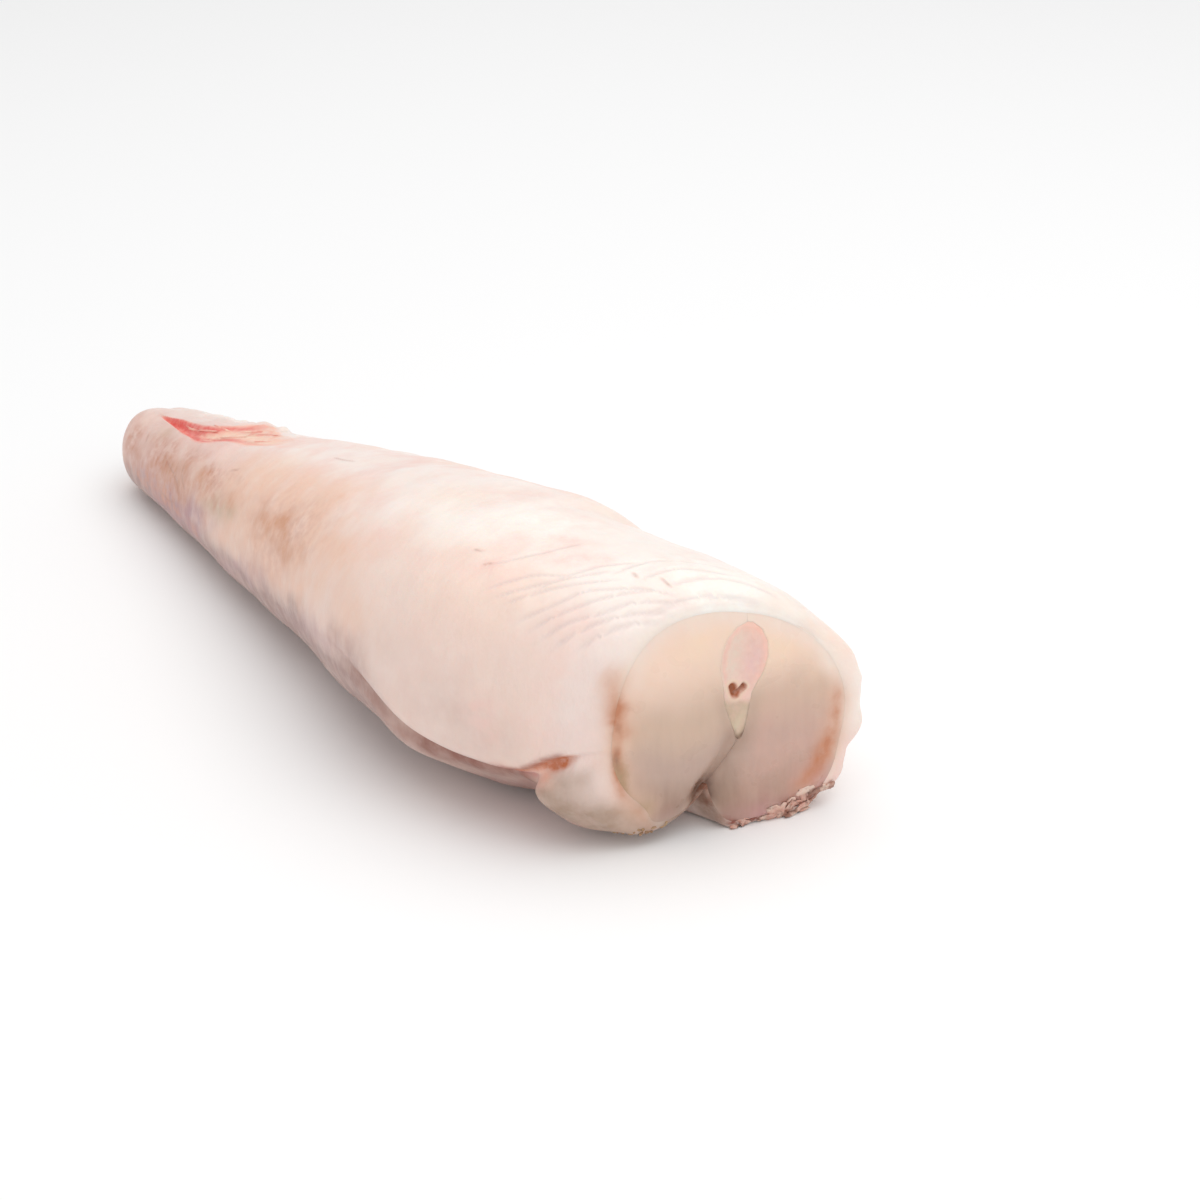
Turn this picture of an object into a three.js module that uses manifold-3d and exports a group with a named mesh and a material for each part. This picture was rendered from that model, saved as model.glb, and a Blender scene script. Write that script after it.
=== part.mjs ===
// A skinned monkfish tail, cut across at its thick end and lying on its belly.
// Millimetres, +Z up. The cut faces -Y, the thin end +Y, and the left flank is on -X.
//
// Every surface is worked out in the tail's own frame: s runs along the body from the cut, and at
// each s the section has its own axes, l to the right and m to the back, rolled about the body.
// An angle in the section is 0 at the back, positive to the right and 180 at the belly.

import * as THREE from 'three';
import { mergeVertices } from 'three/addons/utils/BufferGeometryUtils.js';
import Module from 'manifold-3d';

const wasm = await Module();
wasm.setup();

// ---------------------------------------------------------------- driving dimensions

const LENGTH = 312;

// The body's girth at a few places along it, as shares of its length.
const STATIONS = [0, 0.14, 0.32, 0.52, 0.72, 0.88, 1];
const HALF_WIDTH = [46.5, 54, 51, 40, 29.5, 21.5, 15.2];
const BACK_HEIGHT = [41, 42, 40, 34.5, 25.5, 18.6, 14.2];
const BELLY_DEPTH = [39, 39, 37, 28.5, 21, 16.5, 14.5];
const AXIS_HEIGHT = [35.3, 35.2, 33.5, 26, 19, 15, 13.3];
const SWAY = [0, -9, -9.5, -4, 0, 2.8, 4];
const BACK_ROUNDNESS = 2.1;
const BELLY_ROUNDNESS = 2.4;

// How the body lies and how it was cut, in degrees.
const ROLL_AT_CUT = 16;
const ROLL_AT_TAIL = 10.5;
const CUT_SKEW = 16;
const CUT_RAKE = -4;
const CUT_REACH = 0.4 * LENGTH;

// What lies lower than PRESSED_FLAT below the table is flat on it; the softening ends at PRESS_REACH.
const PRESSED_FLAT = 1.5;
const PRESS_REACH = 2.5;

// The groove between the two lobes of the belly.
const GROOVE_DEPTH = 16.5;
const GROOVE_HALF_WIDTH = 19;
const GROOVE_LENGTH = 0.38 * LENGTH;

// The lip: the edge of the cut rounds over, most at the back. The thin end is blunt.
const LIP_ANGLES = [-180, -135, -90, -45, 0, 45, 75, 100, 140, 180];
const LIP_DROP = [0.8, 1.5, 4.6, 6.8, 8.2, 8.6, 4.8, 2, 1, 0.8];
const LIP_LENGTH = 16;
const TIP_LENGTH = 15;

// The outer layer's thickness round the cut, by angle, and its plain thickness further in.
const WALL_ANGLES = [-180, -168, -157, -146, -132, -98, -75, -45, 0, 45, 75, 98, 120, 150, 180];
const WALL_AT_CUT = [1.8, 2.2, 4.6, 8.4, 9.6, 9, 6.5, 2.4, 1.6, 2.4, 5.5, 7.5, 5, 3.6, 1.8];
const WALL_INSIDE = 2.8;
const WALL_FADE = 110;
const WALL_ON_FLOOR = 2;
const RIM_SWELL = 2.2;
const GAP = 0.3;

// The crease along the left flank, where the flank overlaps a strip of belly wall.
const CREASE_AT = [0, 6, 13, 24, 40, 58, 90, 130];
const CREASE_ANGLE = [-107, -111, -116, -119.5, -118, -111.5, -114, -120];
const CREASE_DEPTH = 2;
const CREASE_HALF_WIDTH = 2.8;
const CREASE_END = [64, 118];
const POCKET = { at: 9, length: 9, depth: 4.6, halfWidth: 4.6 };
const STRIP = { at: 36, length: 17, depth: 2.2, from: 4, to: [15, 32] };
const FLAP = { at: 6, length: 14, height: 2.8, below: 14, halfWidth: 11 };
const RIGHT_CREASE = { angle: 121, depth: 1.8, halfWidth: 3, end: [48, 96] };
const RIGHT_FRAY = { from: 116, to: 156, height: 0.8, pitch: 8, length: 7 };

// The overlapping edge on the back and the slit near the thin end.
const BACK_STEP = { from: 60, to: 74, end: [84, 150], height: 1.7, angle: 30, spread: 40 };
const SLIT_AT = [204, 215, 235, 256, 275, 298];
const SLIT_ANGLE = [-2, -4, -15, -28, -31, -28];
const SLIT_HALF_WIDTH = 5.2;
const SLIT_DEPTH = 4.2;

// The backbone and the seam below it, as they show in the cut, in the section's own axes.
const BONE_LEVELS = [-4.8, -3, 2, 6.5, 9.4, 12.5, 16, 20.5, 25, 28.3, 29.9];
const BONE_HALF_WIDTH = [0.5, 1.3, 2.9, 4, 4.3, 5.4, 6.8, 7.4, 6.5, 4.2, 1.3];
const BONE_CENTRE = [4.4, 3.9, 2, 0.6, 0.1, -0.1, 0, 0.1, 0.2, 0.3, 0.3];
const BONE_END = 262;
const BONE_RECESS = 0.6;
const CANAL = { l: -0.4, m: 9.3, halfWidth: 1.7, halfHeight: 2.3, depth: 14 };
const SEAM_LEVELS = [-60, -22, -13, -4.3, 6, 18, 60];
const SEAM_CENTRE = [0.4, 0.4, 2.4, 4.2, 1.6, 0, 0];

// The two loins: they swell out of the cut and run on inside the outer layer.
const LOIN_SWELL = 3.6;
const LOIN_SEAM_DIP = 2.4;
const LOIN_SEAM_HALF_WIDTH = 6;
const LOIN_END = 276;
const LOIN_DOME = 14;

// How finely the surfaces are cut into facets.
const COLUMNS = 62;
const CREASE_COLUMN = -116;
const SLIT_COLUMN = -24;
const RIM_TURNS = [0.25, 0.5, 0.75];
const FACE_SHARES = [0.2, 0.45, 0.66, 0.82, 0.94];
const CANAL_SIDES = 12;

// ---------------------------------------------------------------- curves

const radians = THREE.MathUtils.degToRad;
const smooth = THREE.MathUtils.smoothstep;
const mix = THREE.MathUtils.lerp;
const clamp = THREE.MathUtils.clamp;

/** A bell that is 1 at the middle and fades out over a few half widths. */
function bell(x, middle, halfWidth) {
  return Math.exp(-(((x - middle) / halfWidth) ** 2));
}

/** The slope of a curve at one of its stations, from the two next to it. */
function slopeAt(at, values, k) {
  const last = at.length - 1;
  if (k === 0) return (values[1] - values[0]) / (at[1] - at[0]);
  if (k === last) return (values[last] - values[last - 1]) / (at[last] - at[last - 1]);
  const before = at[k] - at[k - 1];
  const after = at[k + 1] - at[k];
  const rise = (values[k + 1] - values[k]) / after;
  const run = (values[k] - values[k - 1]) / before;
  return (rise * before + run * after) / (before + after);
}

/** A smooth curve through a few stations, flat beyond the first and last. */
function through(at, values, x) {
  const last = at.length - 1;
  if (x <= at[0]) return values[0];
  if (x >= at[last]) return values[last];
  let k = 0;
  while (x > at[k + 1]) k += 1;
  const span = at[k + 1] - at[k];
  const t = (x - at[k]) / span;
  const t2 = t * t;
  const t3 = t2 * t;
  return (
    (2 * t3 - 3 * t2 + 1) * values[k] +
    (t3 - 2 * t2 + t) * span * slopeAt(at, values, k) +
    (3 * t2 - 2 * t3) * values[k + 1] +
    (t3 - t2) * span * slopeAt(at, values, k + 1)
  );
}

// ---------------------------------------------------------------- the tail's frame

/** The section's sizes at s. */
function girth(s) {
  const u = clamp(s / LENGTH, 0, 1);
  return {
    halfWidth: through(STATIONS, HALF_WIDTH, u),
    back: through(STATIONS, BACK_HEIGHT, u),
    belly: through(STATIONS, BELLY_DEPTH, u),
    height: through(STATIONS, AXIS_HEIGHT, u),
    sway: through(STATIONS, SWAY, u),
  };
}

/** How large the section is beside the one at the cut. */
function scaleAt(s) {
  return girth(s).back / BACK_HEIGHT[0];
}

/** What lies below the table's surface is pressed flat on it, with a clear edge to the flat patch. */
function pressOnFloor(z) {
  if (z > PRESS_REACH) return z;
  const share = Math.max(0, z + PRESSED_FLAT) / (PRESS_REACH + PRESSED_FLAT);
  const curved = PRESSED_FLAT / PRESS_REACH;
  return PRESS_REACH * ((1 - curved) * share + curved * share * share);
}

/** A point given in the section at s, moved forward out of the cut by some millimetres. */
function placeFree(s, l, m, forward = 0) {
  const { height, sway } = girth(s);
  const roll = radians(mix(ROLL_AT_CUT, ROLL_AT_TAIL, smooth(s, 0, 0.6 * LENGTH)));
  const across = l * Math.cos(roll) + m * Math.sin(roll);
  const upward = m * Math.cos(roll) - l * Math.sin(roll);
  const lean = across * Math.tan(radians(CUT_SKEW)) + upward * Math.tan(radians(CUT_RAKE));
  const y = s - forward - lean * (1 - smooth(s, 0, CUT_REACH));
  return new THREE.Vector3(sway + across, y, height + upward);
}

/** The same point of a body that lies on a floor at some height above the table. */
function place(s, l, m, forward = 0, floor = 0) {
  const point = placeFree(s, l, m, forward);
  point.z = floor + pressOnFloor(point.z - floor);
  return point;
}

/** A point at an angle and a distance from the section's middle. */
function placeRound(s, degrees, radius, forward = 0, floor = 0) {
  const angle = radians(degrees);
  return place(s, radius * Math.sin(angle), radius * Math.cos(angle), forward, floor);
}

// ---------------------------------------------------------------- the outer form

/** The section's plain outline: round at the back, fuller at the belly, with the groove. */
function plainRadius(s, degrees) {
  const { halfWidth, back, belly } = girth(s);
  const sine = Math.abs(Math.sin(radians(degrees)));
  const cosine = Math.cos(radians(degrees));
  const power = cosine > 0 ? BACK_ROUNDNESS : BELLY_ROUNDNESS;
  const tall = cosine > 0 ? back : belly;
  const round = ((sine / halfWidth) ** power + (Math.abs(cosine) / tall) ** power) ** (-1 / power);
  const aside = radians(180 - Math.abs(degrees)) * round;
  const groove = GROOVE_DEPTH * (1 - smooth(s, 0, GROOVE_LENGTH));
  return round - groove * clamp(1 - aside / GROOVE_HALF_WIDTH, 0, 1) ** 1.6;
}

/** How far the lip has dropped at s, from the plain outline. */
function lipDrop(s, degrees) {
  const share = clamp(1 - s / LIP_LENGTH, 0, 1);
  return through(LIP_ANGLES, LIP_DROP, degrees) * (1 - Math.sqrt(1 - 0.98 * share * share));
}

/** The left crease, its pocket at the cut and the sunken strip below it: depth in millimetres. */
function creaseDepth(s, degrees, radius) {
  const below = radians(through(CREASE_AT, CREASE_ANGLE, s) - degrees) * radius;
  const fade = 1 - smooth(s, ...CREASE_END);
  const pocket = bell(s, POCKET.at, POCKET.length);
  const halfWidth = mix(CREASE_HALF_WIDTH, POCKET.halfWidth, pocket);
  const depth = mix(CREASE_DEPTH, POCKET.depth, pocket) * fade * bell(below, 0, halfWidth);
  const stripEdges = smooth(below, 0, STRIP.from) * (1 - smooth(below, ...STRIP.to));
  return depth + STRIP.depth * stripEdges * bell(s, STRIP.at, STRIP.length);
}

/** The plain crease of the right flank. */
function rightCreaseDepth(s, degrees, radius) {
  const aside = radians(degrees - RIGHT_CREASE.angle) * radius;
  const fade = 1 - smooth(s, ...RIGHT_CREASE.end);
  return RIGHT_CREASE.depth * fade * bell(aside, 0, RIGHT_CREASE.halfWidth);
}

/** The open slit along the back near the thin end. */
function slitDepth(s, degrees, radius) {
  const last = SLIT_AT.length - 1;
  const along = clamp((s - SLIT_AT[0]) / (SLIT_AT[last] - SLIT_AT[0]), 0, 1);
  const open = Math.sin(Math.PI * along ** 1.5);
  if (open < 1e-3) return 0;
  const aside = radians(degrees - through(SLIT_AT, SLIT_ANGLE, s)) * radius;
  return SLIT_DEPTH * open * clamp(1 - (aside / (SLIT_HALF_WIDTH * open)) ** 2, 0, 1);
}

/** All that is sunk into the plain outline. */
function dentDepth(s, degrees) {
  const radius = plainRadius(s, degrees);
  return (
    creaseDepth(s, degrees, radius) +
    rightCreaseDepth(s, degrees, radius) +
    slitDepth(s, degrees, radius)
  );
}

/** All that stands out of the plain outline: the flap, the frayed edge and the back's overlap. */
function swellHeight(s, degrees) {
  const radius = plainRadius(s, degrees);
  const below = radians(through(CREASE_AT, CREASE_ANGLE, s) - degrees) * radius;
  const flap = FLAP.height * bell(s, FLAP.at, FLAP.length) * bell(below, FLAP.below, FLAP.halfWidth);
  const edges = smooth(degrees, RIGHT_FRAY.from - 8, RIGHT_FRAY.from) *
    (1 - smooth(degrees, RIGHT_FRAY.to, RIGHT_FRAY.to + 8));
  const waves = Math.sin((2 * Math.PI * radians(degrees) * radius) / RIGHT_FRAY.pitch);
  const fray = RIGHT_FRAY.height * edges * waves * bell(s, 0, RIGHT_FRAY.length);
  const overlap = smooth(s, BACK_STEP.from, BACK_STEP.to) * (1 - smooth(s, ...BACK_STEP.end));
  const step = BACK_STEP.height * overlap * bell(degrees, BACK_STEP.angle, BACK_STEP.spread);
  return flap + fray + step;
}

/** The blunt thin end: what is left of the radius at s. */
function tipShare(s) {
  const along = clamp((s - (LENGTH - TIP_LENGTH)) / TIP_LENGTH, 0, 1);
  return Math.sqrt(1 - along ** 2.6);
}

/** The distance of the skinned surface from the section's middle. */
function outerRadius(s, degrees) {
  const radius = plainRadius(s, degrees) + swellHeight(s, degrees) - dentDepth(s, degrees);
  return (radius - lipDrop(s, degrees)) * tipShare(s);
}

/** The outer layer's thickness. */
function wallThickness(s, degrees) {
  const wanted = mix(through(WALL_ANGLES, WALL_AT_CUT, degrees), WALL_INSIDE, smooth(s, 0, WALL_FADE));
  return Math.max(wanted, dentDepth(s, degrees) + 1.4);
}

/** The distance of the outer layer's inner face from the section's middle. */
function innerRadius(s, degrees) {
  const dome = clamp((s - (LOIN_END - LOIN_DOME)) / LOIN_DOME, 0, 1);
  const radius = plainRadius(s, degrees) - lipDrop(s, degrees) - wallThickness(s, degrees);
  return radius * Math.sqrt(1 - 0.96 * dome * dome);
}

// ---------------------------------------------------------------- rows and columns of facets

/** Angles round the section, closer together at the crease, the groove and the slit. */
function columnAngles() {
  const density = (degrees) =>
    1 + 1.7 * bell(degrees, CREASE_COLUMN, 15) + 1.2 * bell(Math.abs(degrees), 180, 14) +
    0.8 * bell(degrees, SLIT_COLUMN, 15) + 0.6 * bell(degrees, 124, 16);
  const steps = 720;
  const sums = [0];
  for (let k = 0; k < steps; k += 1) {
    sums.push(sums[k] + density(-180 + (360 * (k + 0.5)) / steps));
  }
  const angles = [];
  for (let k = 0, j = 0; k < COLUMNS; k += 1) {
    const wanted = (sums[steps] * k) / COLUMNS;
    while (sums[j + 1] < wanted) j += 1;
    angles.push(-180 + (360 * (j + (wanted - sums[j]) / (sums[j + 1] - sums[j]))) / steps);
  }
  return angles;
}

/** A column's angle at s: the columns run along with the crease and, further on, the slit. */
function columnAt(angle, s) {
  const crease = (through(CREASE_AT, CREASE_ANGLE, s) - CREASE_COLUMN) * (1 - smooth(s, 110, 180));
  const slit = (through(SLIT_AT, SLIT_ANGLE, s) - SLIT_COLUMN) * smooth(s, 150, 200);
  return angle + crease * bell(angle, CREASE_COLUMN, 26) + slit * bell(angle, SLIT_COLUMN, 44);
}

/** A ring of the body at s, from a rule that gives a point for an angle. */
function ringAt(s, pointAt) {
  return ANGLES.map((angle) => pointAt(columnAt(angle, s)));
}

/** Places along the body, closer together at the cut, the back's overlap, the slit and the tip. */
function rowsAlong() {
  const rows = [];
  for (let s = 0; s < LENGTH - 0.6; ) {
    rows.push(s);
    const plain = mix(2.1, 14, smooth(s, 0, 105));
    const closer = 1 - 0.35 * bell(s, 62, 14) - 0.35 * bell(s, 262, 46);
    s += plain * closer * mix(1, 0.18, smooth(s, LENGTH - 26, LENGTH));
  }
  return rows;
}

const ANGLES = columnAngles();
const ROWS = rowsAlong();
const CAVITY_ROWS = [...ROWS.filter((s, k) => s < LOIN_END - 6 && k % 2 === 0), LOIN_END - 2];

/** Six times the volume that triangles enclose: negative where they face inwards. */
function signedVolume(points, index) {
  let sum = 0;
  for (let k = 0; k < index.length; k += 3) {
    const [a, b, c] = [points[index[k]], points[index[k + 1]], points[index[k + 2]]];
    sum += a.dot(b.clone().cross(c));
  }
  return sum;
}

/** A closed surface over rings of points, with a point at either end, facing outwards. */
function closedLoft(first, rings, last) {
  const points = [first, ...rings.flat(), last];
  const around = rings[0].length;
  const end = points.length - 1;
  const index = [];
  for (let k = 0; k < around; k += 1) {
    const next = (k + 1) % around;
    index.push(0, 1 + k, 1 + next);
    index.push(end, end - around + next, end - around + k);
    for (let row = 1; row < end - around; row += around) {
      index.push(row + k, row + k + around, row + next);
      index.push(row + next, row + k + around, row + next + around);
    }
  }
  if (signedVolume(points, index) < 0) index.reverse();
  const geometry = new THREE.BufferGeometry().setFromPoints(points);
  geometry.setIndex(index);
  return geometry;
}

// ---------------------------------------------------------------- solids and booleans

/** A three.js geometry as a solid. */
function toSolid(geometry) {
  const bare = geometry.clone();
  bare.deleteAttribute('normal');
  bare.deleteAttribute('uv');
  const merged = mergeVertices(bare, 1e-4);
  const mesh = new wasm.Mesh({
    numProp: 3,
    vertProperties: new Float32Array(merged.attributes.position.array),
    triVerts: new Uint32Array(merged.index.array),
  });
  return new wasm.Manifold(mesh);
}

/** A solid as a three.js geometry. */
function toGeometry(solid) {
  const mesh = solid.getMesh();
  const geometry = new THREE.BufferGeometry();
  geometry.setAttribute('position', new THREE.BufferAttribute(new Float32Array(mesh.vertProperties), 3));
  geometry.setIndex(new THREE.BufferAttribute(new Uint32Array(mesh.triVerts), 1));
  return geometry;
}

/** An outline in the section's axes, carried from stop to stop along the body as a closed solid. */
function carriedAlong(outlineAt, stops) {
  const rings = stops.map(({ s, forward = 0 }) =>
    outlineAt(s).map(([l, m]) => placeFree(s, l, m, forward)));
  const middleOf = (ring) =>
    ring.reduce((sum, point) => sum.add(point), new THREE.Vector3()).divideScalar(ring.length);
  return toSolid(closedLoft(middleOf(rings[0]), rings, middleOf(rings[rings.length - 1])));
}

// ---------------------------------------------------------------- the pieces

/** The outer layer: the tail's whole outside, its thick rim round the cut and the bed of the loins. */
function outerMembrane() {
  const outside = (s) => ringAt(s, (degrees) => placeRound(s, degrees, outerRadius(s, degrees)));
  const inside = (s) =>
    ringAt(s, (degrees) => placeRound(s, degrees, innerRadius(s, degrees), 0, WALL_ON_FLOOR));
  const rim = (turn) => ringAt(0, (degrees) => {
    const thickness = outerRadius(0, degrees) - innerRadius(0, degrees);
    const swell = RIM_SWELL * Math.min(1, thickness / 7) * Math.sin(Math.PI * turn);
    const radius = outerRadius(0, degrees) - turn * thickness;
    return placeRound(0, degrees, radius, swell, turn * WALL_ON_FLOOR);
  });
  const rings = [...ROWS.toReversed().map(outside), ...RIM_TURNS.map(rim), ...CAVITY_ROWS.map(inside)];
  return closedLoft(place(LENGTH, 0, 0), rings, place(LOIN_END, 0, 0));
}

/** The line between the loins, in the section's own axes at s. */
function seamCentre(s, m) {
  const scale = scaleAt(s);
  return scale * through(SEAM_LEVELS, SEAM_CENTRE, m / scale);
}

/** How far the cut face of the loins stands forward at a share of the way out to its edge. */
function faceSwell(degrees, share) {
  const radius = share * innerRadius(0, degrees);
  const l = radius * Math.sin(radians(degrees));
  const m = radius * Math.cos(radians(degrees));
  const dip = LOIN_SEAM_DIP * bell(l, seamCentre(0, m), LOIN_SEAM_HALF_WIDTH) * smooth(-m, -6, 20);
  return LOIN_SWELL * (1 - share ** 3) - dip * (1 - share ** 6);
}

/** A ring of the loins' surface at s: a share of the way out, moved forward by a rule. */
function loinRing(s, share, forwardAt) {
  return ringAt(s, (degrees) => {
    const radius = share * (innerRadius(s, degrees) - GAP);
    return placeRound(s, degrees, radius, forwardAt(degrees, share), WALL_ON_FLOOR + GAP);
  });
}

/** The two loins as one body, before the seam parts them. */
function loinsTogether() {
  const rings = FACE_SHARES.map((share) => loinRing(0, share, faceSwell));
  for (const s of CAVITY_ROWS) {
    rings.push(loinRing(s, 1, () => 0));
  }
  return closedLoft(place(0, 0, 0, LOIN_SWELL), rings, place(LOIN_END - GAP, 0, 0));
}

/** All that lies to one side of the seam, as a block to cut with: side is -1 or 1. */
function sideBlock(side) {
  const stops = [{ s: 0, forward: 40 }, ...CAVITY_ROWS.map((s) => ({ s })), { s: LENGTH + 20 }];
  const levels = [-60, -40, ...SEAM_LEVELS.slice(1, -1), 40, 60];
  const far = 90 * side;
  const outline = (s) => {
    const seam = levels.map((level) => {
      const m = level * scaleAt(s);
      return [seamCentre(s, m) + (side * GAP) / 2, m];
    });
    const edge = levels.toReversed().map((level) => [far, level * scaleAt(s)]);
    return [...seam, ...edge];
  };
  return carriedAlong(outline, stops);
}

/** The backbone's outline in the section at s, larger all round by some millimetres. */
function boneOutline(s, larger) {
  const scale = scaleAt(s);
  const side = (way) => BONE_LEVELS.map((level, k) => {
    const last = BONE_LEVELS.length - 1;
    const lift = larger * (2 * smooth(k, 0, last) - 1);
    const halfWidth = BONE_HALF_WIDTH[k] * scale + larger;
    return [BONE_CENTRE[k] * scale + way * halfWidth, level * scale + lift];
  });
  return [...side(1), ...side(-1).toReversed()];
}

/** The backbone from its face in the cut to its end, larger all round and at both ends. */
function boneBody(larger, longer) {
  const face = LOIN_SWELL - BONE_RECESS;
  const inside = CAVITY_ROWS.filter((s) => s > 0 && s < BONE_END - 6).map((s) => ({ s }));
  const stops = [{ s: 0, forward: face }, ...inside, { s: BONE_END + longer }];
  if (longer > 0) stops.unshift({ s: 0, forward: face + longer });
  return carriedAlong((s) => boneOutline(s, larger), stops);
}

/** The small open canal in the backbone's cut face. */
function canal() {
  const stops = [{ s: 0, forward: 10 }, { s: CANAL.depth }];
  const outline = () => {
    const ring = [];
    for (let k = 0; k < CANAL_SIDES; k += 1) {
      const turn = (2 * Math.PI * k) / CANAL_SIDES;
      const l = CANAL.l + CANAL.halfWidth * Math.cos(turn);
      ring.push([l, CANAL.m + CANAL.halfHeight * Math.sin(turn)]);
    }
    return ring;
  };
  return carriedAlong(outline, stops);
}

/** The pieces by name. */
function pieces() {
  const together = toSolid(loinsTogether());
  const bed = boneBody(GAP, 5);
  const bone = boneBody(0, 0).subtract(canal());
  return {
    outer_membrane: outerMembrane(),
    loin_left: toGeometry(together.intersect(sideBlock(-1)).subtract(bed)),
    loin_right: toGeometry(together.intersect(sideBlock(1)).subtract(bed)),
    backbone: toGeometry(bone),
  };
}

const MATERIALS = {
  outer_membrane: { color: 0xeadcd4, roughness: 0.42 },
  loin_left: { color: 0xdfc3ae, roughness: 0.35 },
  loin_right: { color: 0xdcbfab, roughness: 0.35 },
  backbone: { color: 0xdcb4a4, roughness: 0.4 },
};

/** The whole tail, its bounding box centred over the origin and its lowest points at z = 0. */
function monkfishTail() {
  const tail = new THREE.Group();
  for (const [name, geometry] of Object.entries(pieces())) {
    geometry.computeVertexNormals();
    const material = new THREE.MeshStandardMaterial({ ...MATERIALS[name], metalness: 0 });
    const mesh = new THREE.Mesh(geometry, material);
    mesh.name = name;
    tail.add(mesh);
  }
  const box = new THREE.Box3().setFromObject(tail);
  tail.position.set(-(box.min.x + box.max.x) / 2, -(box.min.y + box.max.y) / 2, -box.min.z);
  return tail;
}

export default monkfishTail();
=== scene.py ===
"""A skinned monkfish tail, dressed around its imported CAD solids.

The tail's own sizes are in millimetres, as in the part's source, and Blender gets metres. Every surface is
worked out in the tail's own frame: s runs along the body from the cut, and at each s the section has its own
axes, l to the right and m to the back. An angle in the section is 0 at the back, positive to the right and
180 at the belly.
"""

import logging
import math
from dataclasses import dataclass, fields
from enum import Enum
from typing import Any, Optional, Sequence

import bpy
import numpy as np
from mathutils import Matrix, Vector


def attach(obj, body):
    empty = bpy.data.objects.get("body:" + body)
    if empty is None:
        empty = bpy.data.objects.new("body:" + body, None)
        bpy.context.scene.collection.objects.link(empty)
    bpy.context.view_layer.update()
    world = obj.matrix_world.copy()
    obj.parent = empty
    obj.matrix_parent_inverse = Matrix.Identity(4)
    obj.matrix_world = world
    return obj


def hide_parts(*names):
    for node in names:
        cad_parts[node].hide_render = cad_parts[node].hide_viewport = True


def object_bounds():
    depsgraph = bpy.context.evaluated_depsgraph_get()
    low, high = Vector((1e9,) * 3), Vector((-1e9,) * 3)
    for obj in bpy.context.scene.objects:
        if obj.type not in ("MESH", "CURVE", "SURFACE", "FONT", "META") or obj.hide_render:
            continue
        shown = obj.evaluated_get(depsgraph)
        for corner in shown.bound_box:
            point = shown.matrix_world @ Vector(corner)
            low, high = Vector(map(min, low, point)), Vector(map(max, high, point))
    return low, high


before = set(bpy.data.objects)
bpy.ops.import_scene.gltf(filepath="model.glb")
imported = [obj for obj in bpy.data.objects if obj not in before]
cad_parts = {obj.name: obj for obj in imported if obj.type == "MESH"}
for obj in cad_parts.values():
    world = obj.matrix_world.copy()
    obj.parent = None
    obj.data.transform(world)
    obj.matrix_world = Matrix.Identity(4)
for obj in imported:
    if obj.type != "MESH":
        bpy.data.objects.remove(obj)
CAD_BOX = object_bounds()

LOG = logging.getLogger("monkfish_tail")
MM = 0.001
Array = np.ndarray
Place = tuple[float, float]
Triple = tuple[float, float, float]
Faces = list[tuple[int, ...]]
Colour = tuple[int, int, int]


# ------------------------------------------------------------------ curves and grain


def smooth(x: Array, low: float, high: float) -> Array:
    """A smooth step from 0 at low to 1 at high."""
    t = np.clip((x - low) / (high - low), 0.0, 1.0)
    return t * t * (3.0 - 2.0 * t)


def fading(x: Array, low: float, high: float) -> Array:
    """A smooth step from 1 at low to 0 at high."""
    return 1.0 - smooth(x, low, high)


def plateau(x: Array, start: float, full: float, fade: float, end: float) -> Array:
    """A value that rises from 0 at start to 1 at full, and falls from 1 at fade to 0 at end."""
    return smooth(x, start, full) * fading(x, fade, end)


def bell(x: Array, middle: Array, half_width: Array) -> Array:
    """A bell that is 1 at the middle and fades out over a few half widths."""
    return np.exp(-(((x - middle) / half_width) ** 2))


def mix(a: Array, b: Array, share: Array) -> Array:
    """A value between a at share 0 and b at share 1."""
    return a + (b - a) * share


def clamped(x: Array) -> Array:
    """A value held between 0 and 1."""
    return np.clip(x, 0.0, 1.0)


@dataclass(frozen=True)
class Curve:
    """A smooth curve through a few stations, flat beyond the first and last."""

    at: tuple[float, ...]
    values: tuple[float, ...]

    def __call__(self, x: Array) -> Array:
        """Works out the curve.

        Args:
            x: Where to read it, in the stations' own units.

        Returns:
            The curve's values there.
        """
        at, values = np.array(self.at, float), np.array(self.values, float)
        slopes = np.gradient(values, at)
        x = np.clip(np.asarray(x, float), at[0], at[-1])
        k = np.clip(np.searchsorted(at, x, side="right") - 1, 0, len(at) - 2)
        span = at[k + 1] - at[k]
        t = (x - at[k]) / span
        t2, t3 = t * t, t * t * t
        return (
            (2 * t3 - 3 * t2 + 1) * values[k]
            + (t3 - 2 * t2 + t) * span * slopes[k]
            + (3 * t2 - 2 * t3) * values[k + 1]
            + (t3 - t2) * span * slopes[k + 1]
        )


@dataclass(frozen=True)
class Grain:
    """Seeded smooth noise in space, about -1 to 1, with a chosen size of grain."""

    seed: int
    size: float
    cells: int = 32

    def __call__(self, points: Array) -> Array:
        """Works out the noise.

        Args:
            points: Points in millimetres, in an array that ends in x, y and z.

        Returns:
            One value for each point.
        """
        lattice = np.random.default_rng(self.seed).uniform(-1, 1, (self.cells,) * 3)
        spot = points / self.size + 7.3
        low = np.floor(spot).astype(int)
        part = spot - low
        part = part * part * (3 - 2 * part)
        total = np.zeros(points.shape[:-1])
        for corner in np.ndindex(2, 2, 2):
            weight = np.prod([part[..., a] if corner[a] else 1 - part[..., a] for a in range(3)], axis=0)
            index = tuple((low[..., a] + corner[a]) % self.cells for a in range(3))
            total += weight * lattice[index]
        return 1.6 * total


# ------------------------------------------------------------------ the tail's frame and outer form

STATIONS = (0, 0.14, 0.32, 0.52, 0.72, 0.88, 1)


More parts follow.
